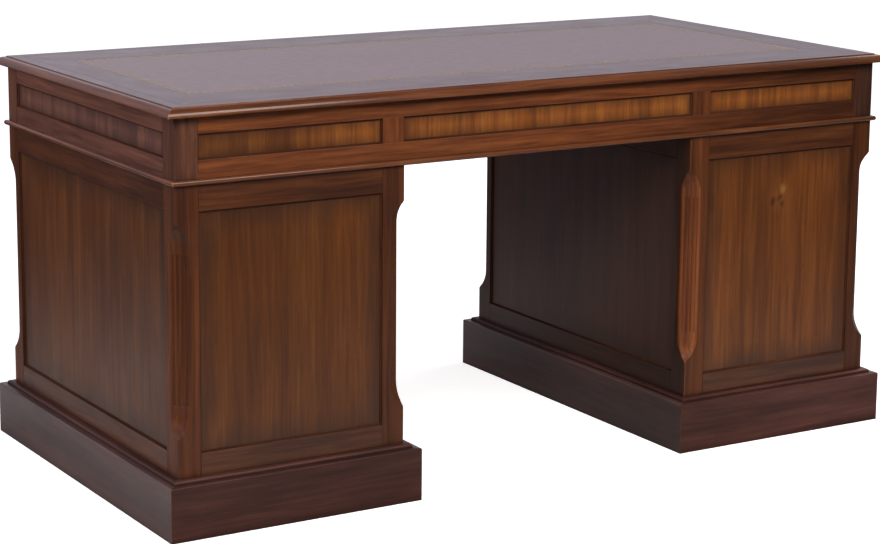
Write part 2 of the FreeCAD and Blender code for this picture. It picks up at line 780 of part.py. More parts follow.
def handleMount(name, x, level):
    """A rose, neck and ball in one turned piece with its bolt, and the nut inside the drawer."""
    outward = (0, 1, 0)
    nutFace = faceY - size.frontThickness - size.nutThickness
    boltLength = size.frontThickness + size.nutThickness
    ballY = faceY + size.handleStandOff
    ball = doc.addObject("Part::Sphere", name + "Ball")
    bind(ball, "Radius", size.handleBallRadius)
    place(ball, x, ballY, level)
    turned = fuse(
        name + "Turned",
        [
            rod(name + "Rose", size.roseRadius, size.roseThickness, (x, faceY, level), outward),
            rod(name + "Neck", size.handlePostRadius, size.handleStandOff, (x, faceY, level), outward),
            ball,
            rod(name + "Bolt", size.boltRadius, boltLength, (x, nutFace, level), outward),
        ],
    )
    eyeRadius = size.bailRadius + size.pivotClearance
    eyeStart = (x - size.handleBallRadius, ballY, level)
    eye = rod(name + "Eye", eyeRadius, size.handleBallRadius * 2, eyeStart, (1, 0, 0))
    nutBlank = rod(name + "NutBlank", size.nutRadius, size.nutThickness, (x, nutFace, level), outward)
    thread = size.boltRadius + size.boltClearance
    nutHole = rod(name + "NutHole", thread, size.nutThickness, (x, nutFace, level), outward)
    return [cut(name + "Post", turned, [eye]), cut(name + "Nut", nutBlank, [nutHole])]


def makeBail(name, middle, level):
    """A bent brass rod: a pivot in each post, two arms and the grip between them."""
    body = newBody(name)
    reach = size.pivotReach
    bend = size.bailBend
    drop = size.bailDrop
    leftArm = reach + size.bailNeck
    rightArm = reach + size.handleSpan - size.bailNeck
    end = reach * 2 + size.handleSpan
    spine = newSketch(body, name + "Spine", "XZ_Plane")
    route = [
        (0, drop),
        (leftArm - bend, drop),
        (leftArm, drop - bend),
        (leftArm, bend),
        (leftArm + bend, 0),
        (rightArm - bend, 0),
        (rightArm, bend),
        (rightArm, drop - bend),
        (rightArm + bend, drop),
        (end, drop),
    ]
    drawLine(spine, route, {1: (bend, -1), 3: (bend, 1), 5: (bend, 1), 7: (bend, -1)}, closed=False)
    section = newSketch(body, name + "Section", "YZ_Plane")
    centre = FreeCAD.Vector(0, drop.value, 0)
    circle = section.addGeometry(Part.Circle(centre, FreeCAD.Vector(0, 0, 1), size.bailRadius.value))
    pinPoint(section, circle, 3, (zero, drop))
    number = section.addConstraint(Sketcher.Constraint("Radius", circle, size.bailRadius.value))
    bind(section, f"Constraints[{number}]", size.bailRadius)
    pipe = body.newObject("PartDesign::AdditivePipe", name + "Rod")
    pipe.Profile = section
    pipe.Spine = spine
    place(body, middle - size.handleSpan / 2 - reach, faceY + size.handleStandOff, level - drop)
    return body


def makeDrawers():
    friezeLevel = friezeDrawerLevel()
    sideMiddle = (openingInnerX + openingOuterX) / 2
    makeDrawer("left_frieze", (-openingOuterX, -openingInnerX), friezeLevel, [-sideMiddle])
    wideHandles = [-size.wideHandleOffset, size.wideHandleOffset]
    makeDrawer("middle_frieze", (-wideOpeningX, wideOpeningX), friezeLevel, wideHandles)
    makeDrawer("right_frieze", (openingInnerX, openingOuterX), friezeLevel, [sideMiddle])
    for name, level in zip(("upper", "middle", "lower"), drawerLevels()):
        makeDrawer("left_" + name, (-openingOuterX, -openingInnerX), level, [-sideMiddle])
        makeDrawer("right_" + name, (openingInnerX, openingOuterX), level, [sideMiddle])


# assembly and export


def checkAndExport():
    doc.recompute()
    failed = [
        thing.Name
        for thing in doc.Objects
        if "Invalid" in thing.State or "Error" in thing.State
    ]
    for piece in nodes:
        if piece.Shape.isNull() or not piece.Shape.isValid() or not piece.Shape.Solids:
            failed.append(piece.Label)
    if failed:
        raise RuntimeError("these pieces failed: " + ", ".join(failed))
    os.makedirs("parts", exist_ok=True)
    for piece in nodes:
        piece.Shape.exportStep(f"parts/{piece.Label}.step")
        print(piece.Label, len(piece.Shape.Solids), "solids", round(piece.Shape.Volume / 1000), "cm3")
    print(len(nodes), "nodes")


makeTop()
makeFrieze()
makeFriezeDrawerSide()
leftHoles = makePedestal("left", -faceX, -pedestalInnerX)
rightHoles = makePedestal("right", pedestalInnerX, faceX)
makeBase(leftHoles, rightHoles)
makeDrawers()
checkAndExport()
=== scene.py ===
import math
import random

import bmesh
import bpy
from mathutils import Matrix, Vector


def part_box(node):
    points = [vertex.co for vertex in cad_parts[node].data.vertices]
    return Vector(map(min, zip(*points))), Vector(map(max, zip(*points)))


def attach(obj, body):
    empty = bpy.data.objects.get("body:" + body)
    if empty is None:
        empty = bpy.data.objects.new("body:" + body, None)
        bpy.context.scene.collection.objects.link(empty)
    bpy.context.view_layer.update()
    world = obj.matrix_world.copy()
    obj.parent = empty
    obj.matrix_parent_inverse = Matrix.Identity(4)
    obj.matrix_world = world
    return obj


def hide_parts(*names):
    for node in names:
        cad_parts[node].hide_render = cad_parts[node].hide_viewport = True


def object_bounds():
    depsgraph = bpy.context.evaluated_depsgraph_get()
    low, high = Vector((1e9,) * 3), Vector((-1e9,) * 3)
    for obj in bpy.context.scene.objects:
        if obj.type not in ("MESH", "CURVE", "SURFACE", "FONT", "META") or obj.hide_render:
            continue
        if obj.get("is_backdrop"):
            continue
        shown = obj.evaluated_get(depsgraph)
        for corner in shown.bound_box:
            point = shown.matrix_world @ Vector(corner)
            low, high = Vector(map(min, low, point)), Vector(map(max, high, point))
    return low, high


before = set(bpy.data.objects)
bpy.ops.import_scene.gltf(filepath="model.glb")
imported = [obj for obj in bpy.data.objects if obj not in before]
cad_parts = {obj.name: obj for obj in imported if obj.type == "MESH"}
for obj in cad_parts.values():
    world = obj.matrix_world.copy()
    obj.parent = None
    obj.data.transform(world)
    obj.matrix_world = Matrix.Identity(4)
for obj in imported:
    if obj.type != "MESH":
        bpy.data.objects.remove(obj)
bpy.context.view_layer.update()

scene = bpy.context.scene
mm = 0.001
chance = random.Random(11)
sides = ("left", "right")
print("frame loaded:", len(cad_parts), "nodes")


# shader helpers

def linear(tone):  # a colour such as "5a3020" as shader numbers
    channels = [int(tone[i:i + 2], 16) / 255 for i in (0, 2, 4)]
    return tuple(c / 12.92 if c < 0.04045 else ((c + 0.055) / 1.055) ** 2.4 for c in channels) + (1,)


def addNode(tree, kind, inputs=None, **settings):
    made = tree.nodes.new(kind)
    for name, value in settings.items():
        setattr(made, name, value)
    for name, value in (inputs or {}).items():
        if isinstance(value, bpy.types.NodeSocket):
            tree.links.new(value, made.inputs[name])
        else:
            made.inputs[name].default_value = value
    return made


def newMaterial(name):
    material = bpy.data.materials.new(name)
    material.use_nodes = True
    material.node_tree.nodes.clear()
    return material, material.node_tree


def noiseLayer(tree, place, scale, detail=2, roughness=0.5, colour=False):
    scaled = addNode(tree, "ShaderNodeVectorMath", {0: place, 1: scale}, operation="MULTIPLY")
    settings = {"Vector": scaled.outputs[0], "Scale": 1, "Detail": detail, "Roughness": roughness}
    made = addNode(tree, "ShaderNodeTexNoise", settings)
    return made.outputs[1 if colour else 0]


def remap(tree, value, low, high, toLow=0, toHigh=1):
    settings = {"Value": value, "From Min": low, "From Max": high, "To Min": toLow, "To Max": toHigh}
    return addNode(tree, "ShaderNodeMapRange", settings).outputs[0]


def blend(tree, kind, share, first, second):
    made = addNode(tree, "ShaderNodeMix", data_type="RGBA", blend_type=kind)
    for number, value in ((0, share), (6, first), (7, second)):
        if isinstance(value, bpy.types.NodeSocket):
            tree.links.new(value, made.inputs[number])
        else:
            made.inputs[number].default_value = value
    return made.outputs[2]


def arithmetic(tree, kind, first, second):
    return addNode(tree, "ShaderNodeMath", {0: first, 1: second}, operation=kind).outputs[0]


def ramp(tree, value, tones):
    made = addNode(tree, "ShaderNodeValToRGB", {0: value})
    band = made.color_ramp
    for place, tone in tones[1:-1]:
        band.elements.new(place)
    for element, (place, tone) in zip(band.elements, tones):
        element.position = place
        element.color = linear(tone)
    return made.outputs[0]


def occlusion(tree, distance, inside=False):  # 1 in the open, less in a corner, or near an edge when inside
    made = addNode(tree, "ShaderNodeAmbientOcclusion", {"Distance": distance}, samples=6, inside=inside)
    return made.outputs["AO"]


# polished mahogany: ribbon stripe along the grain, pores, darker near the edges (dark polish left there, with
# painted shade beside the frame), painted shade in corners and recesses, rubbed arrises (on the mouldings
# also a painted highlight) and painted light falloff along the desk

frameFinish = dict(
    tones=((0.27, "3a1a0c"), (0.43, "5d2f16"), (0.57, "7a4321"), (0.74, "96582c")),
    depth=0.6, ribbon=34, broken=3.6, fine=0.45, wobble=0.006, lines=0.16, clouds=0.24,
    glazeAndShadeTone="1e0e08", cornerShadeReach=0.012, cornerShadeShare=0.6, rim="3a1c14", rimReach=0.012, rimShare=0.15,
    wearAndHighlight="a4683e", wearAndHighlightShare=0.2, coat=0.45, coatRoughness=0.2, roughness=0.46, specular=0.3,
    paintedFalloffFrom=0.1, paintedFalloffTo=0.75, paintedFalloffLevel=0.9,
)
friezeFinish = dict(frameFinish, depth=1.22, cornerShadeShare=0.24, paintedFalloffFrom=0.2, paintedFalloffTo=0.62, paintedFalloffLevel=0.42)
# a purple-grey copy of the frieze wood for the frieze posts: painted sheen
friezePostSheenFinish = dict(
    friezeFinish, tones=((0.27, "3a2018"), (0.43, "5a3426"), (0.57, "734834"), (0.74, "8a5c44")), depth=0.98,
)
# a bluish copy of the frieze wood for the rails on the ends: painted sheen
endRailSheenFinish = dict(
    friezeFinish, tones=((0.27, "3c2018"), (0.43, "5c382c"), (0.57, "744a3c"), (0.74, "8a5e4c")), depth=1.3,
)
# the mouldings' pale rubbed arrises are also a painted highlight
mouldingFinish = dict(
    frameFinish, depth=0.96, coat=0.85, coatRoughness=0.14, roughness=0.5, specular=0.16,
    cornerShadeShare=0.35, wearAndHighlight="b48868", wearAndHighlightShare=0.45, paintedFalloffFrom=-0.4, paintedFalloffLevel=0.68,
)
postFinish = dict(frameFinish, depth=0.68, broken=1.6, coat=0.12)
chamferFinish = dict(postFinish, depth=1.3, glazeAndShadeTone="3a1d10", cornerShadeReach=0.004, cornerShadeShare=0.35, wearAndHighlightShare=0.1)
panelFinish = dict(
    frameFinish, tones=((0.26, "54290d"), (0.44, "673713"), (0.57, "784318"), (0.75, "8e5824")), depth=0.72,
    ribbon=34, broken=3.0, fine=0.5, wobble=0.004, lines=0.07, clouds=0.18, cornerShadeReach=0.02, cornerShadeShare=0.7,
    rim="382216", rimReach=0.05, rimShare=0.65, wearAndHighlightShare=0.1, coat=0.36,
    paintedFalloffFrom=-0.2, paintedFalloffTo=0.55, paintedFalloffLevel=1.42,
)
knottyPanelFinish = dict(panelFinish, knot=(
    ((0.560, -0.38, 0.500), 0.034, 0.25, "9c6630"), ((0.567, -0.38, 0.514), 0.010, 0.55, "b88448"),
    ((0.546, -0.38, 0.492), 0.010, 0.95, "301404"), ((0.561, -0.38, 0.496), 0.008, 0.90, "301404"),
    ((0.570, -0.38, 0.482), 0.008, 0.70, "301404"),
))
# a greyer, slightly darker copy of the panel wood for the kneehole sides: painted shade and sheen
kneePanelShadeFinish = dict(
    panelFinish, tones=((0.26, "4c281a"), (0.44, "5c3322"), (0.57, "6c3e28"), (0.75, "805032")),
    depth=0.70, coat=0.85, coatRoughness=0.3, paintedFalloffLevel=1.0,
)
# a darker copy of the frame wood for the kneehole sides: painted shade
kneeFrameShadeFinish = dict(frameFinish, depth=0.40, coat=0.75, coatRoughness=0.3)
friezePanelFinish = dict(
    panelFinish, tones=((0.27, "643216"), (0.42, "7a431c"), (0.56, "925624"), (0.72, "ac6c2e")), depth=0.66,
    ribbon=44, broken=3.4, fine=0.36, lines=0.05, clouds=0.14, rimReach=0.026, rimShare=0.6,
    paintedFalloffFrom=-0.6, paintedFalloffTo=-0.25, paintedFalloffLevel=1.74, coat=0.45,
)
# a purple-grey copy of the frieze panels for the ends: painted sheen
endPanelSheenFinish = dict(
    friezePanelFinish, tones=((0.27, "58363a"), (0.42, "6e4842"), (0.56, "865c4a"), (0.72, "9c6c4e")),
    depth=0.94, paintedFalloffLevel=1.0,
)
# greyish plinth tones: painted sheen of the pale floor
plinthSheenFinish = dict(
    frameFinish, tones=((0.27, "3e2420"), (0.45, "56342e"), (0.58, "683f37"), (0.74, "7a5045")), depth=0.62,
    ribbon=26, broken=3.0, lines=0.10, clouds=0.34, coat=0.15, coatRoughness=0.35, wearAndHighlightShare=0.08,
    specular=0.2, paintedFalloffFrom=-0.5, paintedFalloffTo=0.5, paintedFalloffLevel=1.25,
)
# a greyer copy for the plinth's ends: painted sheen
plinthEndSheenFinish = dict(
    plinthSheenFinish, tones=((0.27, "3a2624"), (0.45, "503632"), (0.58, "62423c"), (0.74, "74544c")), depth=0.76,
    coat=0.9, coatRoughness=0.4, specular=0.5,
)
topFinish = dict(
    frameFinish, tones=((0.27, "2c1610"), (0.45, "40211a"), (0.58, "4e2a20"), (0.74, "5e362a")), depth=1.0,
    clouds=0.1, coat=0.54, coatRoughness=0.16, wearAndHighlightShare=0.1, rimShare=0,
)
liningFinish = dict(
    frameFinish, tones=((0.27, "7a5430"), (0.45, "94693e"), (0.58, "a67a4a"), (0.74, "b98f5e")), depth=1.0,
    glazeAndShadeTone="4a3018", rim="6a4828", wearAndHighlight="c29c6c", coat=0.0, roughness=0.6, cornerShadeShare=0.5,
)


def rimDistance(tree):  # from the nearest long or short edge of the board
    closest = []
    for name in ("fromLow", "fromHigh"):
        place = addNode(tree, "ShaderNodeAttribute", attribute_name=name).outputs["Vector"]
        parts = addNode(tree, "ShaderNodeSeparateXYZ", {0: place}).outputs
        closest.append(arithmetic(tree, "MINIMUM", parts[0], parts[1]))
    return arithmetic(tree, "MINIMUM", *closest)


def knotted(tree, colour, place, knot):  # dark eyes in a pale flame, none of them quite round
    uneven = noiseLayer(tree, place, (60, 60, 30), 2, colour=True)
    half = (0.5, 0.5, 0.5)
    uneven = addNode(tree, "ShaderNodeVectorMath", {0: uneven, 1: half}, operation="SUBTRACT").outputs[0]
    shift = {0: uneven, 1: (0.02, 0.02, 0.02), 2: place}
    moved = addNode(tree, "ShaderNodeVectorMath", shift, operation="MULTIPLY_ADD").outputs[0]
    for centre, reach, share, tone in knot:
        offset = addNode(tree, "ShaderNodeVectorMath", {0: moved, 1: centre}, operation="SUBTRACT").outputs[0]
        stretch = {0: offset, 1: (1, 0.2, 0.8)}
        stretched = addNode(tree, "ShaderNodeVectorMath", stretch, operation="MULTIPLY").outputs[0]
        away = addNode(tree, "ShaderNodeVectorMath", {0: stretched}, operation="LENGTH").outputs["Value"]
        colour = blend(tree, "MIX", remap(tree, away, 0, reach, share, 0), colour, linear(tone))
    return colour


def woodMaterial(name, finish):
    material, tree = newMaterial(name)
    grain = addNode(tree, "ShaderNodeAttribute", attribute_name="grain").outputs["Vector"]
    sway = noiseLayer(tree, grain, (2.2, 5, 5), 2, colour=True)
    centred = addNode(tree, "ShaderNodeVectorMath", {0: sway, 1: (0.5, 0.5, 0.5)}, operation="SUBTRACT")
    reach = (0, finish["wobble"] * 4, finish["wobble"] * 4)
    swayed = addNode(
        tree, "ShaderNodeVectorMath", {0: centred.outputs[0], 1: reach, 2: grain}, operation="MULTIPLY_ADD"
    ).outputs[0]
    ribbon, broken = finish["ribbon"], finish["broken"]
    wide = noiseLayer(tree, swayed, (broken * 0.5, ribbon, ribbon), 3, 0.6)
    narrow = noiseLayer(tree, swayed, (broken * 2, ribbon * 4.5, ribbon * 4.5), 3, 0.6)
    lines = noiseLayer(tree, swayed, (4, 620, 620), 3, 0.65)
    pores = noiseLayer(tree, swayed, (70, 1500, 1500), 1)
    clouds = noiseLayer(tree, grain, (2.2, 6, 6), 3)

    stripe = addNode(tree, "ShaderNodeMix", {"Factor": finish["fine"], 2: wide, 3: narrow}).outputs[0]
    colour = ramp(tree, stripe, finish["tones"])
    depth = finish["depth"]
    lineShade = remap(tree, lines, 0.3, 0.7, depth * (1 - finish["lines"]), depth * (1 + finish["lines"]))
    colour = blend(tree, "MULTIPLY", 1, colour, lineShade)
    cloudShade = remap(tree, clouds, 0.3, 0.7, 1 - finish["clouds"], 1 + finish["clouds"])
    colour = blend(tree, "MULTIPLY", 1, colour, cloudShade)
    # painted light: the colour grows darker or lighter along the desk's length, standing in for the lamps'
    # falloff (in part the wood's own tone)
    place = addNode(tree, "ShaderNodeTexCoord").outputs["Object"]
    alongDesk = addNode(tree, "ShaderNodeSeparateXYZ", {0: place}).outputs[0]
    paintedFalloff = remap(tree, alongDesk, finish["paintedFalloffFrom"], finish["paintedFalloffTo"], 1, finish["paintedFalloffLevel"])
    colour = blend(tree, "MULTIPLY", 1, colour, paintedFalloff)
    if "knot" in finish:
        colour = knotted(tree, colour, place, finish["knot"])
    poreMask = remap(tree, pores, 0.62, 0.74, 0, 0.45)
    colour = blend(tree, "MIX", poreMask, colour, linear(finish["glazeAndShadeTone"]))

    # darker near the board's edges: dark polish left there, and painted shade where the frame meets the panel
    ragged = remap(tree, noiseLayer(tree, grain, (9, 26, 26), 3), 0.3, 0.7, -0.25, 0.35)
    ragged = arithmetic(tree, "MULTIPLY", ragged, finish["rimReach"])
    fromRim = arithmetic(tree, "ADD", rimDistance(tree), ragged)
    rimPolishAndShadeMask = remap(tree, fromRim, 0, finish["rimReach"], finish["rimShare"], 0)
    colour = blend(tree, "MIX", rimPolishAndShadeMask, colour, linear(finish["rim"]))
    # painted shade: darker in corners and recesses, found by occlusion, partly dark glaze collected there;
    # the pores take the same dark tone
    corner = remap(tree, occlusion(tree, finish["cornerShadeReach"]), 0.35, 0.95, finish["cornerShadeShare"], 0)
    colour = blend(tree, "MIX", corner, colour, linear(finish["glazeAndShadeTone"]))
    # lighter rubbed arrises, found by occlusion: wear, and on the mouldings also a painted highlight
    rubbed = noiseLayer(tree, grain, (35, 90, 90), 2)
    edge = remap(tree, occlusion(tree, 0.0022, inside=True), 0.35, 0.8, finish["wearAndHighlightShare"], 0)
    edge = arithmetic(tree, "MULTIPLY", edge, remap(tree, rubbed, 0.35, 0.6, 0.2, 1))
    colour = blend(tree, "MIX", edge, colour, linear(finish["wearAndHighlight"]))

    handled = noiseLayer(tree, grain, (9, 14, 14), 3)
    roughness = remap(tree, handled, 0.3, 0.7, finish["roughness"] - 0.06, finish["roughness"] + 0.08)
    relief = arithmetic(tree, "SUBTRACT", lines, poreMask)
    bump = addNode(tree, "ShaderNodeBump", {"Strength": 0.35, "Distance": 0.0003, "Height": relief})
    skin = noiseLayer(tree, grain, (16, 45, 45), 2)
    lacquer = addNode(tree, "ShaderNodeBump", {"Strength": 0.18, "Distance": 0.0006, "Height": skin})
    surface = addNode(tree, "ShaderNodeBsdfPrincipled", {
        "Base Color": colour, "Roughness": roughness, "Specular IOR Level": finish["specular"],
        "Coat Weight": finish["coat"], "Coat Roughness": finish["coatRoughness"], "Coat IOR": 1.5,
        "Normal": bump.outputs[0], "Coat Normal": lacquer.outputs[0],
    })
    addNode(tree, "ShaderNodeOutputMaterial", {"Surface": surface.outputs[0]})
    return material


panelWood = woodMaterial("ribbonMahogany", panelFinish)
friezePanelWood = woodMaterial("goldenMahogany", friezePanelFinish)
endPanelSheenWood = woodMaterial("endPanelSheenMahogany", endPanelSheenFinish)
endRailSheenWood = woodMaterial("endRailSheenMahogany", endRailSheenFinish)
friezePostSheenWood = woodMaterial("friezePostSheenMahogany", friezePostSheenFinish)
knottyPanelWood = woodMaterial("knottyMahogany", knottyPanelFinish)
kneePanelShadeWood = woodMaterial("kneeholeShadeMahogany", kneePanelShadeFinish)
kneeFrameShadeWood = woodMaterial("kneeholeFrameShadeMahogany", kneeFrameShadeFinish)
frameWood = woodMaterial("frameMahogany", frameFinish)
friezeWood = woodMaterial("friezeMahogany", friezeFinish)
mouldingWood = woodMaterial("mouldingMahogany", mouldingFinish)
postWood = woodMaterial("postMahogany", postFinish)
# painted light: the right pedestal's chamfers lighter, the left's darker
chamferPaintedLight = dict(left=0.68, right=1.35)
chamferWood = {}
for side in sides:
    chamferWood[side] = woodMaterial(side + "ChamferPaintedLightMahogany", dict(chamferFinish, depth=chamferPaintedLight[side]))
# dark bead: it draws the dark line round each panel, in part painted shade of the panel's recess
darkBeadWood = woodMaterial("darkShadeBead", dict(
    frameFinish, tones=((0.27, "2c160e"), (0.45, "3c2015"), (0.58, "4a2a1c"), (0.74, "5a3624")),
    depth=1.25, cornerShadeShare=0.25, coat=0.0, roughness=0.75, specular=0.08, wearAndHighlightShare=0.05,
))
plinthSheenWood = woodMaterial("plinthSheenMahogany", plinthSheenFinish)
plinthEndSheenWood = woodMaterial("plinthEndSheenMahogany", plinthEndSheenFinish)
topWood = woodMaterial("topMahogany", topFinish)
liningWood = woodMaterial("liningOak", liningFinish)

leatherFinish = dict(
    tones=((0.3, "5a3832"), (0.5, "603e38"), (0.7, "66443d")), cell=780, roughness=0.33, edge="3c241c",
    coat=0.39, coatRoughness=0.25, coatTint=(1, 0.95, 0.92, 1),
)


def leatherMaterial():
    material, tree = newMaterial("tooledLeather")
    place = addNode(tree, "ShaderNodeTexCoord").outputs["Object"]
    clouds = noiseLayer(tree, place, (7, 7, 7), 4, 0.6)
    patches = noiseLayer(tree, place, (55, 55, 55), 3)
    cells = addNode(tree, "ShaderNodeTexVoronoi", {"Vector": place, "Scale": leatherFinish["cell"]})
    mixed = addNode(tree, "ShaderNodeMix", {"Factor": 0.3, 2: clouds, 3: patches}).outputs[0]
    colour = ramp(tree, mixed, leatherFinish["tones"])
    valley = remap(tree, cells.outputs["Distance"], 0.25, 0.75, 0, 0.25)
    colour = blend(tree, "MIX", valley, colour, linear(leatherFinish["edge"]))
    low = leatherFinish["roughness"]
    roughness = remap(tree, patches, 0.3, 0.7, low - 0.02, low + 0.03)
    bump = addNode(tree, "ShaderNodeBump", {
        "Strength": 0.12, "Distance": 0.0002, "Height": cells.outputs["Distance"],
    })
    bump.invert = True
    surface = addNode(tree, "ShaderNodeBsdfPrincipled", {
        "Base Color": colour, "Roughness": roughness, "Normal": bump.outputs[0],
        "Coat Weight": leatherFinish["coat"], "Coat Roughness": leatherFinish["coatRoughness"],
        "Coat Tint": leatherFinish["coatTint"],
    })
    addNode(tree, "ShaderNodeOutputMaterial", {"Surface": surface.outputs[0]})
    return material


def metalMaterial(name, bright, dull, roughness, cavity):
    material, tree = newMaterial(name)
    place = addNode(tree, "ShaderNodeTexCoord").outputs["Object"]
    patches = noiseLayer(tree, place, (190, 190, 190), 4, 0.6)
    colour = blend(tree, "MIX", remap(tree, patches, 0.4, 0.7), linear(bright), linear(dull))
    hollow = remap(tree, occlusion(tree, 0.004), 0.3, 0.9, 0.8, 0)
    colour = blend(tree, "MIX", hollow, colour, linear(cavity))
    gloss = remap(tree, patches, 0.3, 0.7, roughness - 0.08, roughness + 0.14)
    scratches = noiseLayer(tree, place, (2600, 300, 300), 2)
    bump = addNode(tree, "ShaderNodeBump", {"Strength": 0.08, "Distance": 0.0002, "Height": scratches})
    surface = addNode(tree, "ShaderNodeBsdfPrincipled", {
        "Base Color": colour, "Metallic": 1, "Roughness": gloss, "Normal": bump.outputs[0],
    })
    addNode(tree, "ShaderNodeOutputMaterial", {"Surface": surface.outputs[0]})
    return material


leatherSkin = leatherMaterial()
giltLeaf = metalMaterial("giltTooling", "f0dfc0", "cdb48e", 0.42, "a88c68")
brass = metalMaterial("agedBrass", "c9a25a", "8f6a34", 0.30, "2c1c0c")
print("finishes ready")


# mesh helpers: a point's "grain" value is its place in its own board, along the grain first

layerNames = ("grain", "fromLow", "fromHigh")
farFromRim = (1, 1, 1)  # for pieces whose rim doesn't matter


def newMesh():
    mesh = bmesh.new()
    for name in layerNames:
        mesh.verts.layers.float_vector.new(name)
    return mesh


def setGrain(mesh, verts, along, low=None, high=None):  # low and high: the board's box, if its rim matters
    grain, fromLow, fromHigh = (mesh.verts.layers.float_vector[name] for name in layerNames)
    start = Vector([chance.uniform(0, 30) for i in range(3)])
    order = [along] + [axis for axis in range(3) if axis != along]
    if low is not None and high[order[1]] - low[order[1]] < high[order[2]] - low[order[2]]:
        order[1:] = order[:0:-1]  # the wider way across comes first
    for vert in verts:
        spot = Vector([vert.co[axis] for axis in order])
        vert[grain] = start + spot
        vert[fromLow] = vert[fromHigh] = farFromRim
        if low is not None:
            vert[fromLow] = spot - Vector([low[axis] for axis in order])
            vert[fromHigh] = Vector([high[axis] for axis in order]) - spot


def addBoard(mesh, low, high, along, arris=0.6 * mm, material=0, hidden=0):  # hidden: edge let into grooves
    made = bmesh.ops.create_cube(mesh, size=1)["verts"]
    for vert in made:
        vert.co = [low[i] if vert.co[i] < 0 else high[i] for i in range(3)]
    edges = list({edge for vert in made for edge in vert.link_edges})
    soft = bmesh.ops.bevel(mesh, geom=edges, offset=arris, segments=2, profile=0.5, affect="EDGES")
    shown = Vector((hidden, hidden, hidden))
    setGrain(mesh, soft["verts"], along, Vector(low) + shown, Vector(high) - shown)
    for face in {face for vert in soft["verts"] for face in vert.link_faces}:
        face.material_index = material


def arc(centre, radius, start, end, steps):
    angles = [math.radians(start + (end - start) * i / steps) for i in range(steps + 1)]
    return [(centre[0] + radius * math.cos(a), centre[1] + radius * math.sin(a)) for a in angles]


def softened(outline, radius, leastTurn=0.5, edgeShare=0.4):  # rounds a closed outline's sharp corners
    made = []
    for i, corner in enumerate(outline):
        corner = Vector(corner)
        before = Vector(outline[i - 1]) - corner
        after = Vector(outline[(i + 1) % len(outline)]) - corner
        if before.length < 1e-9 or after.length < 1e-9 or math.pi - before.angle(after) < leastTurn:
            made.append(tuple(corner))
            continue
        cut = min(radius, before.length * edgeShare, after.length * edgeShare)
        first = corner + before.normalized() * cut
        last = corner + after.normalized() * cut
        for step in (0, 1 / 3, 2 / 3, 1):
            made.append(tuple(first * (1 - step) ** 2 + corner * 2 * step * (1 - step) + last * step ** 2))
    return made


def bridge(mesh, first, second, material=0):
    faces = []
    for i in range(len(first)):
        j = (i + 1) % len(first)
        faces.append(mesh.faces.new((first[i], first[j], second[j], second[i])))
        faces[-1].material_index = material
    return faces


def addFrame(mesh, plane, low, high, outline, material=0, endMaterial=None):
    # four mitred strips inside the rectangle low to high of the plane's first two axes
    # outline is (inward, level)
    u, v, w = plane
    corners = ((0, 0), (1, 0), (1, 1), (0, 1))
    for side in range(4):
        rings = []
        chosen = endMaterial if endMaterial is not None and side % 2 else material
        for corner in (corners[side], corners[(side + 1) % 4]):
            ring = []
            for inward, level in outline:
                spot = [0, 0, 0]
                spot[u] = high[0] - inward if corner[0] else low[0] + inward
                spot[v] = high[1] - inward if corner[1] else low[1] + inward
                spot[w] = level
                ring.append(mesh.verts.new(spot))
            rings.append(ring)
        bridge(mesh, *rings, chosen)
        mesh.faces.new(rings[0]).material_index = chosen
        mesh.faces.new(rings[1]).material_index = chosen
        setGrain(mesh, rings[0] + rings[1], v if side % 2 else u)


def addTurned(mesh, origin, outward, outline, material=0, steps=28):
    # outline is (distance along outward, radius), turned about a row axis
    across = [axis for axis in range(3) if axis != outward]
    rings = []
    for reach, radius in outline:
        ring = []
        for i in range(steps):
            turn = math.tau * i / steps
            spot = list(origin)
            spot[outward] += reach
            spot[across[0]] += radius * math.cos(turn)
            spot[across[1]] += radius * math.sin(turn)
            ring.append(mesh.verts.new(spot))
        rings.append(ring)
    for first, second in zip(rings, rings[1:]):
        bridge(mesh, first, second, material)
    mesh.faces.new(rings[0]).material_index = material
    mesh.faces.new(rings[-1]).material_index = material
    setGrain(mesh, [vert for ring in rings for vert in ring], outward)


def addRod(mesh, line, radii, steps=16):  # a round bar along points in the XZ plane
    across = Vector((0, 1, 0))
    rings = []
    for i, (spot, radius) in enumerate(zip(line, radii)):
        ahead = (line[min(i + 1, len(line) - 1)] - line[max(i - 1, 0)]).normalized()
        aside = ahead.cross(across)
        ring = []
        for step in range(steps):
            turn = math.tau * step / steps
            offset = aside * math.cos(turn) + across * math.sin(turn)
            ring.append(mesh.verts.new(spot + offset * radius))
        rings.append(ring)
    for first, second in zip(rings, rings[1:]):
        bridge(mesh, first, second)
    mesh.faces.new(rings[0])
    mesh.faces.new(rings[-1])
    setGrain(mesh, [vert for ring in rings for vert in ring], 0)


def solidBoxes(node):  # the lowest and highest corner of each solid in a CAD node
    mesh = bmesh.new()
    mesh.from_mesh(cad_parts[node].data)
    bmesh.ops.remove_doubles(mesh, verts=mesh.verts, dist=1e-6)
    waiting = set(mesh.faces)
    boxes = []
    while waiting:
        edgeOn = [waiting.pop()]
        corners = []
        while edgeOn:
            face = edgeOn.pop()
            corners += [vert.co.copy() for vert in face.verts]
            for edge in face.edges:
                if len(edge.link_faces) == 2:
                    fresh = [other for other in edge.link_faces if other in waiting]
                    waiting.difference_update(fresh)
                    edgeOn += fresh
        low = Vector([min(spot[i] for spot in corners) for i in range(3)])
        high = Vector([max(spot[i] for spot in corners) for i in range(3)])
        if min(high - low) > 1e-5:
            boxes.append((low, high))
    mesh.free()
    return sorted(boxes, key=lambda box: tuple(round(value, 5) for value in box[0] + box[1]))


def longest(low, high):
    return max(range(3), key=lambda axis: high[axis] - low[axis])


sharpFrom = math.radians(52)  # edges that turn more than this stay crisp


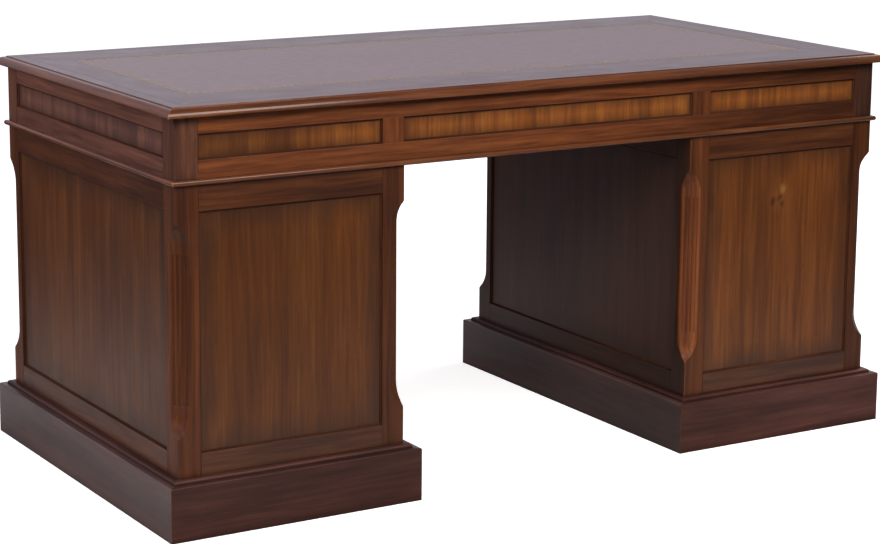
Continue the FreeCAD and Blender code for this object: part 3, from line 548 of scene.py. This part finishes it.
def finishPiece(name, mesh, materials, body, slotName, *nodes):
    bmesh.ops.recalc_face_normals(mesh, faces=mesh.faces)
    data = bpy.data.meshes.new(name)
    mesh.to_mesh(data)
    mesh.free()
    for material in materials:
        data.materials.append(material)
    data.shade_smooth()
    data.set_sharp_from_angle(angle=sharpFrom)
    piece = bpy.data.objects.new(name, data)
    scene.collection.objects.link(piece)
    shading = piece.modifiers.new("evenShading", "WEIGHTED_NORMAL")
    shading.keep_sharp = True
    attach(piece, body)
    if nodes:
        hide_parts(*nodes)
    return piece


kneeholeReach = 0.45  # from the middle of the desk, past the pedestals' inner sides


def acrossEnd(low, high):  # a board that stands along Y
    return high.x - low.x < high.y - low.y


# the boards it picks take the darker kneehole copies: painted shade
def inKneehole(low, high):  # the same, on a pedestal's inner side
    return acrossEnd(low, high) and max(abs(low.x), abs(high.x)) < kneeholeReach


def makeBoards(
    name, node, material, slotName, along=None, body="carcass", arris=0.6 * mm, hidden=0,
    other=None, isOther=acrossEnd,
):
    # other is a second finish, for the boards that isOther picks
    mesh = newMesh()
    for low, high in solidBoxes(node):
        grainWay = longest(low, high) if along is None else along
        chosen = int(other is not None and isOther(low, high))
        addBoard(mesh, low, high, grainWay, arris, chosen, hidden)
    materials = [material] if other is None else [material, other]
    return finishPiece(name, mesh, materials, body, slotName, node)


flat = (0, 1, 2)  # a frame that lies level
upLong = (0, 2, 1)  # one that stands along X
upEnd = (1, 2, 0)  # one that stands along Y


# top: moulded edge, mitred border and tooled leather

edgeDetail = dict(strip=44 * mm, land=17 * mm, quirk=2 * mm, arris=0.8 * mm, topSkin=0.3 * mm)


def makeEdgeMouldings():
    low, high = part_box("edge_mouldings")
    ovolo = high.z - low.z - edgeDetail["quirk"]
    turn = [(ovolo - x, low.z + z) for x, z in arc((0, 0), ovolo, 0, 90, 12)]
    outline = [(edgeDetail["strip"], low.z)] + turn
    land = edgeDetail["land"]
    outline += [(land, low.z + ovolo), (land, high.z), (edgeDetail["strip"], high.z)]
    mesh = newMesh()
    addFrame(mesh, flat, low, high, softened(outline, edgeDetail["arris"]))
    for face in mesh.faces:
        lowest = min(vert.co.z for vert in face.verts)
        if lowest > high.z - edgeDetail["topSkin"]:  # the land runs on into the top's border
            face.material_index = 1
    materials = [mouldingWood, topWood]
    finishPiece("edgeMouldings", mesh, materials, "carcass", "mahogany_frame", "edge_mouldings")


topDetail = dict(core=3 * mm, arris=0.25 * mm, leatherClearance=0.2 * mm)


def makeTopBoard():
    low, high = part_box("top_board")
    leatherLow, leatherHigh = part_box("writing_leather")
    core = topDetail["core"]
    mesh = newMesh()
    corners = (
        ((low.x, low.y), (high.x, low.y), (leatherHigh.x, leatherLow.y), (leatherLow.x, leatherLow.y), 0),
        ((high.x, low.y), (high.x, high.y), (leatherHigh.x, leatherHigh.y), (leatherHigh.x, leatherLow.y), 1),
        ((high.x, high.y), (low.x, high.y), (leatherLow.x, leatherHigh.y), (leatherHigh.x, leatherHigh.y), 0),
        ((low.x, high.y), (low.x, low.y), (leatherLow.x, leatherLow.y), (leatherLow.x, leatherHigh.y), 1),
    )
    for *corner, along in corners:
        foot = [mesh.verts.new((x, y, low.z + core)) for x, y in corner]
        head = [mesh.verts.new((x, y, high.z)) for x, y in corner]
        bridge(mesh, foot, head)
        mesh.faces.new(foot)
        mesh.faces.new(head)
        rim = [edge for edge in mesh.edges if edge.verts[0] in head and edge.verts[1] in head]
        soft = bmesh.ops.bevel(mesh, geom=rim, offset=topDetail["arris"], segments=1, affect="EDGES")
        island = set(soft["verts"]) | {vert for vert in foot if vert.is_valid}
        setGrain(mesh, island, along)
    leatherFoot = leatherLow.z - topDetail["leatherClearance"]
    addBoard(mesh, low, (high.x, high.y, low.z + core), 0)
    fieldLow = (leatherLow.x, leatherLow.y, low.z + core)
    addBoard(mesh, fieldLow, (leatherHigh.x, leatherHigh.y, leatherFoot), 0)
    finishPiece("topBoards", mesh, [topWood], "carcass", "mahogany_top", "top_board")


leatherDetail = dict(sink=0.12 * mm, roll=0.9 * mm)
toolingDetail = dict(
    inset=1.5 * mm, line=2.0 * mm, band=13 * mm, motif=6 * mm, pitch=7.5 * mm, rise=0.08 * mm, bite=0.1 * mm,
    secondLine=1.8, secondWidth=0.5, smallMotif=0.45, waist=0.35,
)


def makeLeather():
    low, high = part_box("writing_leather")
    mesh = newMesh()
    level = high.z - leatherDetail["sink"]
    addBoard(mesh, low, (high.x, high.y, level), 0, leatherDetail["roll"])
    finishPiece("writingLeather", mesh, [leatherSkin], "carcass", "leather", "writing_leather")

    mesh = newMesh()
    tooling = toolingDetail
    foot, head = level - tooling["bite"], level + tooling["rise"]
    line = tooling["line"]
    for inset in (tooling["inset"], tooling["inset"] + tooling["band"]):
        second = (inset + line * tooling["secondLine"], line * tooling["secondWidth"])
        for start, width in ((inset, line), second):
            outline = [(start, foot), (start, head), (start + width, head), (start + width, foot)]
            addFrame(mesh, flat, low, high, outline)
    middle = tooling["inset"] + tooling["band"] / 2 + line
    half = tooling["motif"] / 2
    for axis, other in ((0, 1), (1, 0)):
        start, end = low[axis] + middle, high[axis] - middle
        count = round((end - start) / tooling["pitch"])
        for edge in (low[other] + middle, high[other] - middle):
            for i in range(count):
                spot = start + (end - start) * (i + 0.5) / count
                size = half if i % 2 else half * tooling["smallMotif"]
                addLozenge(mesh, axis, spot, edge, size, foot, head)
    finishPiece("giltTooling", mesh, [giltLeaf], "carcass", "leather")


def addLozenge(mesh, axis, spot, edge, half, foot, head):
    waist = half * toolingDetail["waist"]
    star = [(half, 0), (waist, waist), (0, half), (-waist, waist)]
    star += [(-du, -dv) for du, dv in star]
    rings = []
    for level in (foot, head):
        ring = []
        for du, dv in star:
            place = (spot + du, edge + dv) if axis == 0 else (edge + dv, spot + du)
            ring.append(mesh.verts.new((*place, level)))
        rings.append(ring)
    bridge(mesh, *rings)
    mesh.faces.new(rings[1])
    mesh.faces.new(rings[0])
    setGrain(mesh, rings[0] + rings[1], axis)


makeEdgeMouldings()
makeTopBoard()
makeLeather()
print("top made")


# frieze: posts, rails, golden panels with a dark bead round them, and the astragal at its foot

beadDetail = dict(nose=5 * mm, strip=24 * mm)
panelBeadDetail = dict(width=3.4 * mm, rise=2.4 * mm, bite=0.2 * mm)


def makeBeadMouldings():
    low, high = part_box("bead_mouldings")
    nose = beadDetail["nose"]
    outline = [(beadDetail["strip"], low.z)]
    outline += [(nose - x, low.z + nose + z) for x, z in arc((0, 0), nose, -90, 90, 14)]
    outline += [(beadDetail["strip"], high.z)]
    mesh = newMesh()
    addFrame(mesh, flat, low, high, outline)
    finishPiece("beadMouldings", mesh, [mouldingWood], "carcass", "mahogany_frame", "bead_mouldings")


def makePanelBeads(name, node, tongue, frameFaces):
    # a quarter-round bead in the corner between each panel and the frame round it
    width, rise = panelBeadDetail["width"], panelBeadDetail["rise"]
    mesh = newMesh()
    for low, high in solidBoxes(node):
        plane = upEnd if acrossEnd(low, high) else upLong
        u, v, w = plane
        outward = nearest((low[w] + high[w]) / 2, frameFaces[w])
        face = low[w] if outward < 0 else high[w]
        foot = face - outward * panelBeadDetail["bite"]
        outline = [(width, foot)] + [
            (width * inward, face + outward * rise * level) for inward, level in arc((0, 0), 1, 0, 90, 6)
        ] + [(0, foot)]
        opening = (low[u] + tongue, low[v] + tongue), (high[u] - tongue, high[v] - tongue)
        addFrame(mesh, plane, *opening, outline)
    return finishPiece(name, mesh, [darkBeadWood], "carcass", "mahogany_frame")


def nearest(value, faces):  # -1 where the nearest frame face looks down the axis, 1 where it looks up
    return -1 if abs(value - faces[0]) < abs(value - faces[1]) else 1


grooveDepth = 6 * mm
friezeLow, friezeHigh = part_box("frieze_posts")
friezeFaces = ((friezeLow.x, friezeHigh.x), (friezeLow.y, friezeHigh.y), (0, 0))
makeBeadMouldings()
makeBoards("friezePosts", "frieze_posts", friezePostSheenWood, "mahogany_frame", along=2, arris=1.0 * mm)
makeBoards("friezeRails", "frieze_rails", friezeWood, "mahogany_frame", other=endRailSheenWood)
makeBoards(
    "friezePanels", "frieze_panels", friezePanelWood, "mahogany_veneer", along=2, hidden=grooveDepth,
    other=endPanelSheenWood,
)
makePanelBeads("friezePanelBeads", "frieze_panels", grooveDepth, friezeFaces)
makeBoards("friezeDrawerRails", "frieze_drawer_rails", frameWood, "mahogany_frame")
makeBoards("friezeBearers", "frieze_bearers", liningWood, "lining_wood")
makeBoards("baseBoards", "base_boards", liningWood, "lining_wood")
print("frieze made")


# pedestals: posts with a stopped, fluted chamfer, rails, panels and the drawer rails

postDetail = dict(
    width=46 * mm, leg=28 * mm, topBlock=63 * mm, bottomBlock=74 * mm, tongue=50 * mm, shoulder=1 / 7,
    flutes=4, fluteRadius=2.2 * mm, fluteDepth=1.3 * mm, flutePitch=8.2 * mm, fluteEnd=12 * mm,
    arris=0.8 * mm, square=1 * mm, tongueSteps=14,
)


def chamferDepth(level, low, high):  # how far the chamfer lies under the post's corner, an ogee at each end
    tongue = postDetail["tongue"]
    depth = postDetail["leg"] / math.sqrt(2)
    reach = min(level - low, high - level)
    if reach <= 0:
        return 0
    if reach >= tongue:
        return depth
    bothBends = (tongue ** 2 + depth ** 2) / (2 * depth)
    shoulder = postDetail["shoulder"]
    if reach < tongue * shoulder:
        bend = bothBends * shoulder
        return bend - math.sqrt(bend ** 2 - reach ** 2)
    bend = bothBends * (1 - shoulder)
    return depth - (bend - math.sqrt(bend ** 2 - (tongue - reach) ** 2))


def addPost(mesh, corner, turnX, turnY, foot, head, shaded):
    # corner is the post's inner corner; turnX and turnY point to its outer corner
    # shaded is for a post beside the kneehole: its face toward the kneehole takes the darker kneehole copy,
    # painted shade
    detail = postDetail
    width, arris, radius = detail["width"], detail["arris"], detail["fluteRadius"]
    low, high = foot + detail["bottomBlock"], head - detail["topBlock"]
    fluteLow = low + detail["tongue"] + detail["fluteEnd"] + radius
    fluteHigh = high - detail["tongue"] - detail["fluteEnd"] - radius
    halfFace = detail["leg"] / math.sqrt(2)
    across = [-halfFace]
    centres = [detail["flutePitch"] * (i - (detail["flutes"] - 1) / 2) for i in range(detail["flutes"])]
    for centre in centres:
        across += [centre + radius * math.sin(math.radians(a)) for a in range(-90, 91, 18)]
    across.append(halfFace)
    steps = detail["tongueSteps"]
    levels = [foot, low - detail["square"]]
    levels += [low + detail["tongue"] * i / steps for i in range(steps + 1)]
    levels += [fluteLow - radius * math.cos(math.radians(a)) for a in range(0, 91, 15)]
    levels += [fluteHigh + radius * math.sin(math.radians(a)) for a in range(0, 91, 15)]
    levels += [high - detail["tongue"] * (steps - i) / steps for i in range(steps + 1)]
    levels += [high + detail["square"], head]
    rings = []
    for level in sorted(levels):
        leg = max(chamferDepth(level, low, high) * math.sqrt(2), arris)
        beyond = max(fluteLow - level, level - fluteHigh, 0)
        points = [(0, 0), (width - arris, 0), (width, arris)]
        for place in across:
            hollow = 0
            for centre in centres:
                hollow = max(hollow, 1 - ((place - centre) ** 2 + beyond ** 2) / radius ** 2)
            inward = detail["fluteDepth"] * math.sqrt(hollow / 2)
            share = (place / halfFace + 1) / 2
            points.append((width - leg * share - inward, width - leg * (1 - share) - inward))
        points += [(arris, width), (0, width - arris)]
        rings.append([
            mesh.verts.new((corner[0] + x * turnX, corner[1] + y * turnY, level)) for x, y in points
        ])
    for first, second in zip(rings, rings[1:]):
        faces = bridge(mesh, first, second)
        faces[2].material_index = 2 if shaded else 0
        # the chamfers facing -X take their pedestal's chamfer copy, with painted light
        for face in faces[3:2 + len(across)]:  # the chamfer and its flutes
            face.material_index = int(turnX < 0)
    mesh.faces.new(rings[0])
    mesh.faces.new(rings[-1])
    setGrain(mesh, [vert for ring in rings for vert in ring], 2)


def makePosts(side):
    node = side + "_pedestal_posts"
    low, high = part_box(node)
    width = postDetail["width"]
    inward = 1 if side == "left" else -1
    mesh = newMesh()
    for x, turnX in ((low.x + width, -1), (high.x - width, 1)):
        for y, turnY in ((low.y + width, -1), (high.y - width, 1)):
            addPost(mesh, (x, y), turnX, turnY, low.z, high.z, turnX == inward)
    materials = [postWood, chamferWood[side], kneeFrameShadeWood]
    return finishPiece(side + "PedestalPosts", mesh, materials, "carcass", "mahogany_frame", node)


plinthDetail = dict(
    thick=44 * mm, rounding=3 * mm, block=30 * mm,
    capWidth=13 * mm, capHeight=7 * mm, capRounding=5 * mm, capArris=0.4 * mm,
)


def makePlinth(side):
    node = side + "_plinth"
    detail = plinthDetail
    low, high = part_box(node)
    postLow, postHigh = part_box(side + "_pedestal_posts")
    tall, thick, bend = postLow.z, detail["thick"], detail["rounding"]
    outline = [(thick, low.z), (0, low.z)]
    outline += [(bend - x, tall - bend + z) for x, z in arc((0, 0), bend, 0, 90, 6)]
    outline += [(thick, tall)]
    mesh = newMesh()
    # the plinth's ends take the greyer copy: painted sheen
    addFrame(mesh, flat, low, high, outline, endMaterial=2)
    wide, rise, bend = detail["capWidth"], detail["capHeight"], detail["capRounding"]
    capOutline = [(wide, tall), (0, tall)]
    capOutline += [(bend - x, tall + rise - bend + z) for x, z in arc((0, 0), bend, 0, 90, 8)]
    capOutline += [(wide, tall + rise)]
    capLow = (postLow.x - wide, postLow.y - wide)
    capHigh = (postHigh.x + wide, postHigh.y + wide)
    addFrame(mesh, flat, capLow, capHigh, softened(capOutline, detail["capArris"]))
    for boxLow, boxHigh in solidBoxes(node):
        if abs(boxHigh.x - boxLow.x - detail["block"]) < mm and boxLow.z > mm:  # a glue block
            addBoard(mesh, boxLow, boxHigh, 2, material=1)
    materials = [plinthSheenWood, liningWood, plinthEndSheenWood]
    return finishPiece(side + "Plinth", mesh, materials, "carcass", "mahogany_plinth", node)


for side in sides:
    low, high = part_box(side + "_pedestal_posts")
    faces = ((low.x, high.x), (low.y, high.y), (0, 0))
    makePosts(side)
    makeBoards(
        side + "PedestalRails", side + "_pedestal_rails", frameWood, "mahogany_frame",
        other=kneeFrameShadeWood, isOther=inKneehole,
    )
    panels = knottyPanelWood if side == "right" else panelWood
    makeBoards(
        side + "PedestalPanels", side + "_pedestal_panels", panels, "mahogany_veneer", along=2,
        hidden=grooveDepth, other=kneePanelShadeWood, isOther=inKneehole,
    )
    makePanelBeads(side + "PanelBeads", side + "_pedestal_panels", grooveDepth, faces)
    makeBoards(side + "DrawerRails", side + "_drawer_rails", frameWood, "mahogany_frame")
    makeBoards(side + "PedestalBearers", side + "_pedestal_bearers", liningWood, "lining_wood")
    makePlinth(side)
print("pedestals made")


# drawers: veneered front with a cockbead, lined box, brass swan-neck handles

drawerNames = ["left_frieze", "middle_frieze", "right_frieze"]
drawerNames += [f"{side}_{row}" for row in ("upper", "middle", "lower") for side in sides]
frontDetail = dict(
    cockbead=3 * mm, cockbeadRise=2.2 * mm, crossband=24 * mm, lowCrossband=14 * mm, tallFrom=100 * mm,
    veneer=1.2 * mm, joint=0.1 * mm,
)


def makeDrawerFront(name, body):
    node = name + "_drawer_front"
    low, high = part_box(node)
    detail = frontDetail
    tall = high.z - low.z > detail["tallFrom"]
    band = detail["crossband" if tall else "lowCrossband"]
    bead, rise, veneer, joint = (detail[part] for part in ("cockbead", "cockbeadRise", "veneer", "joint"))
    mesh = newMesh()
    addBoard(mesh, low, (high.x, high.y - veneer, high.z), 0, material=1)
    fieldLow = (low.x + bead + band, high.y - veneer, low.z + bead + band)
    fieldHigh = (high.x - bead - band, high.y, high.z - bead - band)
    addBoard(mesh, fieldLow, fieldHigh, 0 if tall else 2, joint)
    back = high.y - veneer
    banding = [(bead, back), (bead, high.y), (bead + band, high.y), (bead + band, back)]
    addFrame(mesh, upLong, (low.x, low.z), (high.x, high.z), softened(banding, joint), 1)
    half = bead / 2
    cockbead = [(0, back), (0, high.y + rise - half)]
    cockbead += [(half - x, high.y + rise - half + z) for x, z in arc((0, 0), half, 0, 180, 8)]
    cockbead += [(bead, back)]
    addFrame(mesh, upLong, (low.x, low.z), (high.x, high.z), cockbead, 1)
    materials = [panelWood if tall else friezePanelWood, frameWood]
    return finishPiece(name + "Front", mesh, materials, body, "mahogany_veneer", node)


handleDetail = dict(
    reach=7.2 * mm, neck=16 * mm, bend=9 * mm, rod=2.6 * mm, ball=5.6 * mm, tip=0.3 * mm,
    gripEnds=10 * mm, gripSteps=16, swellReach=9 * mm, slimmest=0.92, waist=0.14, swell=0.08,
)
mountDetail = dict(  # each a line of (distance from the drawer front, radius), in millimetres
    rose=(
        (0, 0.1), (0, 11), (0.8, 11), (1.4, 10.4), (1.5, 8.6), (2.4, 8.0), (2.5, 6.2), (3.4, 5.0), (4.6, 3.9),
    ),
    nut=((-24, 1), (-24, 5.4), (-23.4, 6), (-20.6, 6), (-20, 5.4), (-20, 1)),
)


def makeMounts(name, body, bails):
    detail = handleDetail
    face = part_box(name + "_drawer_front")[1].y
    rose, nut = (
        [(reach * mm, radius * mm) for reach, radius in mountDetail[part]] for part in ("rose", "nut")
    )
    mesh = newMesh()
    for bail in bails:
        bailLow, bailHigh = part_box(bail)
        pivotY = (bailLow.y + bailHigh.y) / 2
        pivotZ = bailHigh.z - detail["rod"]
        for x in (bailLow.x + detail["reach"], bailHigh.x - detail["reach"]):
            standOff = pivotY - face
            ball = detail["ball"]
            turns = [math.radians(a) for a in range(42, 180, 12)]
            head = [(standOff - ball * math.cos(turn), ball * math.sin(turn)) for turn in turns]
            addTurned(mesh, (x, face, pivotZ), 1, rose + head + [(standOff + ball, detail["tip"])])
            addTurned(mesh, (x, face, pivotZ), 1, nut)
    return finishPiece(name + "HandleMounts", mesh, [brass], body, "brass", name + "_handle_mounts")


def roundedRoute(corners, bend):
    line = [Vector(corners[0])]
    for before, corner, after in zip(corners, corners[1:], corners[2:]):
        corner = Vector(corner)
        first = corner + (Vector(before) - corner).normalized() * bend
        last = corner + (Vector(after) - corner).normalized() * bend
        for i in range(9):
            step = i / 8
            line.append(first * (1 - step) ** 2 + corner * 2 * step * (1 - step) + last * step ** 2)
    line.append(Vector(corners[-1]))
    return line


def makeBail(node, body):
    low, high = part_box(node)
    detail = handleDetail
    rod = detail["rod"]
    y = (low.y + high.y) / 2
    top, bottom = high.z - rod, low.z + rod
    armLeft = low.x + detail["reach"] + detail["neck"]
    armRight = high.x - detail["reach"] - detail["neck"]
    corners = [(low.x, y, top), (armLeft, y, top), (armLeft, y, bottom), (armRight, y, bottom)]
    corners += [(armRight, y, top), (high.x, y, top)]
    line = roundedRoute(corners, detail["bend"])
    steps, ends = detail["gripSteps"], detail["gripEnds"]
    grip = [armLeft + (armRight - armLeft) * i / steps for i in range(1, steps)]
    half = len(line) // 2
    straight = [Vector((x, y, bottom)) for x in grip if armLeft + ends < x < armRight - ends]
    line = line[:half] + straight + line[half:]
    middle = (low.x + high.x) / 2
    radii = []
    for spot in line:
        swell = math.exp(-((spot.x - middle) / detail["swellReach"]) ** 2)
        waist = math.sin(math.pi * (top - spot.z) / (top - bottom))
        radii.append(rod * (detail["slimmest"] - detail["waist"] * waist + detail["swell"] * swell))
    mesh = newMesh()
    addRod(mesh, line, radii)
    return finishPiece(node.replace("_bail", "Bail"), mesh, [brass], body, "brass", node)


for name in drawerNames:
    body = name + "_drawer"
    makeDrawerFront(name, body)
    makeBoards(name + "Box", name + "_drawer_box", liningWood, "lining_wood", body=body)
    bails = [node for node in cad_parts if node.startswith(name + "_bail")]
    makeMounts(name, body, bails)
    for bail in bails:
        makeBail(bail, bail.replace("_bail", "_handle"))
print("drawers made")


dowelBevel = 0.2  # of the radius


def makeDowels():
    mesh = newMesh()
    for low, high in solidBoxes("locating_dowels"):
        radius = (high.x - low.x) / 2
        spot = ((low.x + high.x) / 2, (low.y + high.y) / 2, low.z)
        tall = high.z - low.z
        bevel = radius * dowelBevel
        outline = [(0, radius - bevel), (bevel, radius), (tall - bevel, radius), (tall, radius - bevel)]
        addTurned(mesh, spot, 2, outline)
    finishPiece("locatingDowels", mesh, [liningWood], "carcass", "lining_wood", "locating_dowels")


makeDowels()


# camera, studio and light

cameraView = dict(
    place=(-2.5442, -4.1930, 1.4153), yaw=-0.5512, pitch=-0.1887, roll=0.0091,
    lens=99.283, shiftX=-0.0227, shiftY=-0.0818,
)


def makeCamera():
    yaw, pitch, roll = (cameraView[name] for name in ("yaw", "pitch", "roll"))
    ahead = Vector((-math.sin(yaw) * math.cos(pitch), math.cos(yaw) * math.cos(pitch), math.sin(pitch)))
    right = Vector((math.cos(yaw), math.sin(yaw), 0))
    up = right.cross(ahead)
    leanRight = right * math.cos(roll) + up * math.sin(roll)
    leanUp = up * math.cos(roll) - right * math.sin(roll)
    camera = bpy.data.objects.new("camera", bpy.data.cameras.new("camera"))
    camera.matrix_world = Matrix.Translation(cameraView["place"]) @ Matrix(
        (leanRight, leanUp, -ahead)
    ).transposed().to_4x4()
    camera.data.sensor_width = 36
    camera.data.lens = cameraView["lens"]
    camera.data.shift_x = cameraView["shiftX"]
    camera.data.shift_y = cameraView["shiftY"]
    camera.data.clip_end = 100
    scene.collection.objects.link(camera)
    scene.camera = camera


# the floor's pale and dark levels and reaches paint a pool of light round the desk; under paints shade
# beneath it
studio = dict(
    floorHalf=30, footprint=(0.82, 0.42), paleReach=0.25, darkReach=1.7, under=0.4, pale=0.74, dark=0.05,
    white=(0.9, 0.9, 0.9, 1), liftNear=0.72, liftFar=1.0, liftReach=1.5,
    wallTone=(0.97, 0.90, 1.04, 1), wall=0.655, wallLeft=1.2, room=0.05, ceiling=0.05,
)


def makeFloor():
    half = studio["floorHalf"]
    mesh = bmesh.new()
    mesh.faces.new([mesh.verts.new((x * half, y * half, 0)) for x, y in ((-1, -1), (1, -1), (1, 1), (-1, 1))])
    data = bpy.data.meshes.new("floor")
    mesh.to_mesh(data)
    mesh.free()
    floor = bpy.data.objects.new("floor", data)
    scene.collection.objects.link(floor)
    floor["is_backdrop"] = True
    material, tree = newMaterial("paleFloor")
    place = addNode(tree, "ShaderNodeTexCoord").outputs["Object"]
    away = addNode(tree, "ShaderNodeVectorMath", {0: place}, operation="ABSOLUTE").outputs[0]
    footprint = (*studio["footprint"], 0)
    away = addNode(tree, "ShaderNodeVectorMath", {0: away, 1: footprint}, operation="SUBTRACT").outputs[0]
    away = addNode(tree, "ShaderNodeVectorMath", {0: away, 1: (0, 0, 0)}, operation="MAXIMUM").outputs[0]
    reach = addNode(tree, "ShaderNodeVectorMath", {0: away}, operation="LENGTH").outputs["Value"]
    # painted pool of light, seen in reflections and bounce only: pale near the desk, dark further off, and
    # painted shade under the desk
    paintedFalloff = remap(tree, reach, studio["paleReach"], studio["darkReach"], studio["pale"], studio["dark"])
    paintedFalloff = arithmetic(tree, "MULTIPLY", paintedFalloff, remap(tree, reach, 0, studio["paleReach"], studio["under"], 1))
    paintedLightPool = addNode(tree, "ShaderNodeBsdfDiffuse", {"Color": paintedFalloff})
    white = addNode(tree, "ShaderNodeBsdfDiffuse", {"Color": studio["white"]})
    lifted = remap(tree, reach, 0, studio["liftReach"], studio["liftNear"], studio["liftFar"])
    lift = addNode(tree, "ShaderNodeEmission", {"Strength": lifted})
    seen = addNode(tree, "ShaderNodeAddShader", {0: white.outputs[0], 1: lift.outputs[0]})
    direct = addNode(tree, "ShaderNodeLightPath").outputs["Is Camera Ray"]
    mixed = addNode(tree, "ShaderNodeMixShader", {0: direct, 1: paintedLightPool.outputs[0], 2: seen.outputs[0]})
    addNode(tree, "ShaderNodeOutputMaterial", {"Surface": mixed.outputs[0]})
    data.materials.append(material)


def makeWorld():  # a pale wall beyond the drawer side, the rest of the room dim
    world = bpy.data.worlds.new("studio")
    scene.world = world
    world.use_nodes = True
    tree = world.node_tree
    tree.nodes.clear()
    direction = addNode(tree, "ShaderNodeTexCoord").outputs["Generated"]
    x, y, z = addNode(tree, "ShaderNodeSeparateXYZ", {0: direction}).outputs
    wall = arithmetic(tree, "MULTIPLY", remap(tree, y, 0.0, 0.5), remap(tree, z, 0.55, 0.3))
    wallLevel = remap(tree, x, 0.35, 0.65, studio["wall"] * studio["wallLeft"], studio["wall"])
    wall = arithmetic(tree, "MULTIPLY", wall, remap(tree, x, -0.5, 0.1, 0.4, 1))
    around = remap(tree, z, 0.1, 0.8, studio["room"], studio["ceiling"])
    level = addNode(tree, "ShaderNodeMix", {"Factor": wall, 2: around, 3: wallLevel}).outputs[0]
    room = addNode(tree, "ShaderNodeBackground", {"Color": studio["wallTone"], "Strength": level})
    white = addNode(tree, "ShaderNodeBackground", {"Color": (1, 1, 1, 1), "Strength": 1})
    direct = addNode(tree, "ShaderNodeLightPath").outputs["Is Camera Ray"]
    mixed = addNode(tree, "ShaderNodeMixShader", {0: direct, 1: room.outputs[0], 2: white.outputs[0]})
    addNode(tree, "ShaderNodeOutputWorld", {"Surface": mixed.outputs[0]})


lampAim = Vector((0, 0, 0.4))
lamps = (
    dict(name="keyLamp", place=(-0.3, -2.9, 2.9), size=(3.4, 1.7), power=124, tone=(1, 0.96, 0.91)),
    dict(name="fillLamp", place=(-3.3, 0.4, 1.9), size=(2.4, 2.4), power=48, tone=(0.98, 0.92, 0.95)),
    dict(name="sideLamp", place=(3.6, 0.4, 1.9), size=(2.4, 2.4), power=60, tone=(1, 0.97, 0.94)),
)


def makeLamps():
    for lamp in lamps:
        data = bpy.data.lights.new(lamp["name"], "AREA")
        data.shape = "RECTANGLE"
        data.size, data.size_y = lamp["size"]
        data.energy = lamp["power"]
        data.color = lamp["tone"]
        made = bpy.data.objects.new(lamp["name"], data)
        made.location = lamp["place"]
        made.rotation_euler = (lampAim - made.location).to_track_quat("-Z", "Y").to_euler()
        scene.collection.objects.link(made)


makeCamera()
makeFloor()
makeWorld()
makeLamps()
scene.view_settings.view_transform = "Standard"
print("studio ready")

low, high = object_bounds()
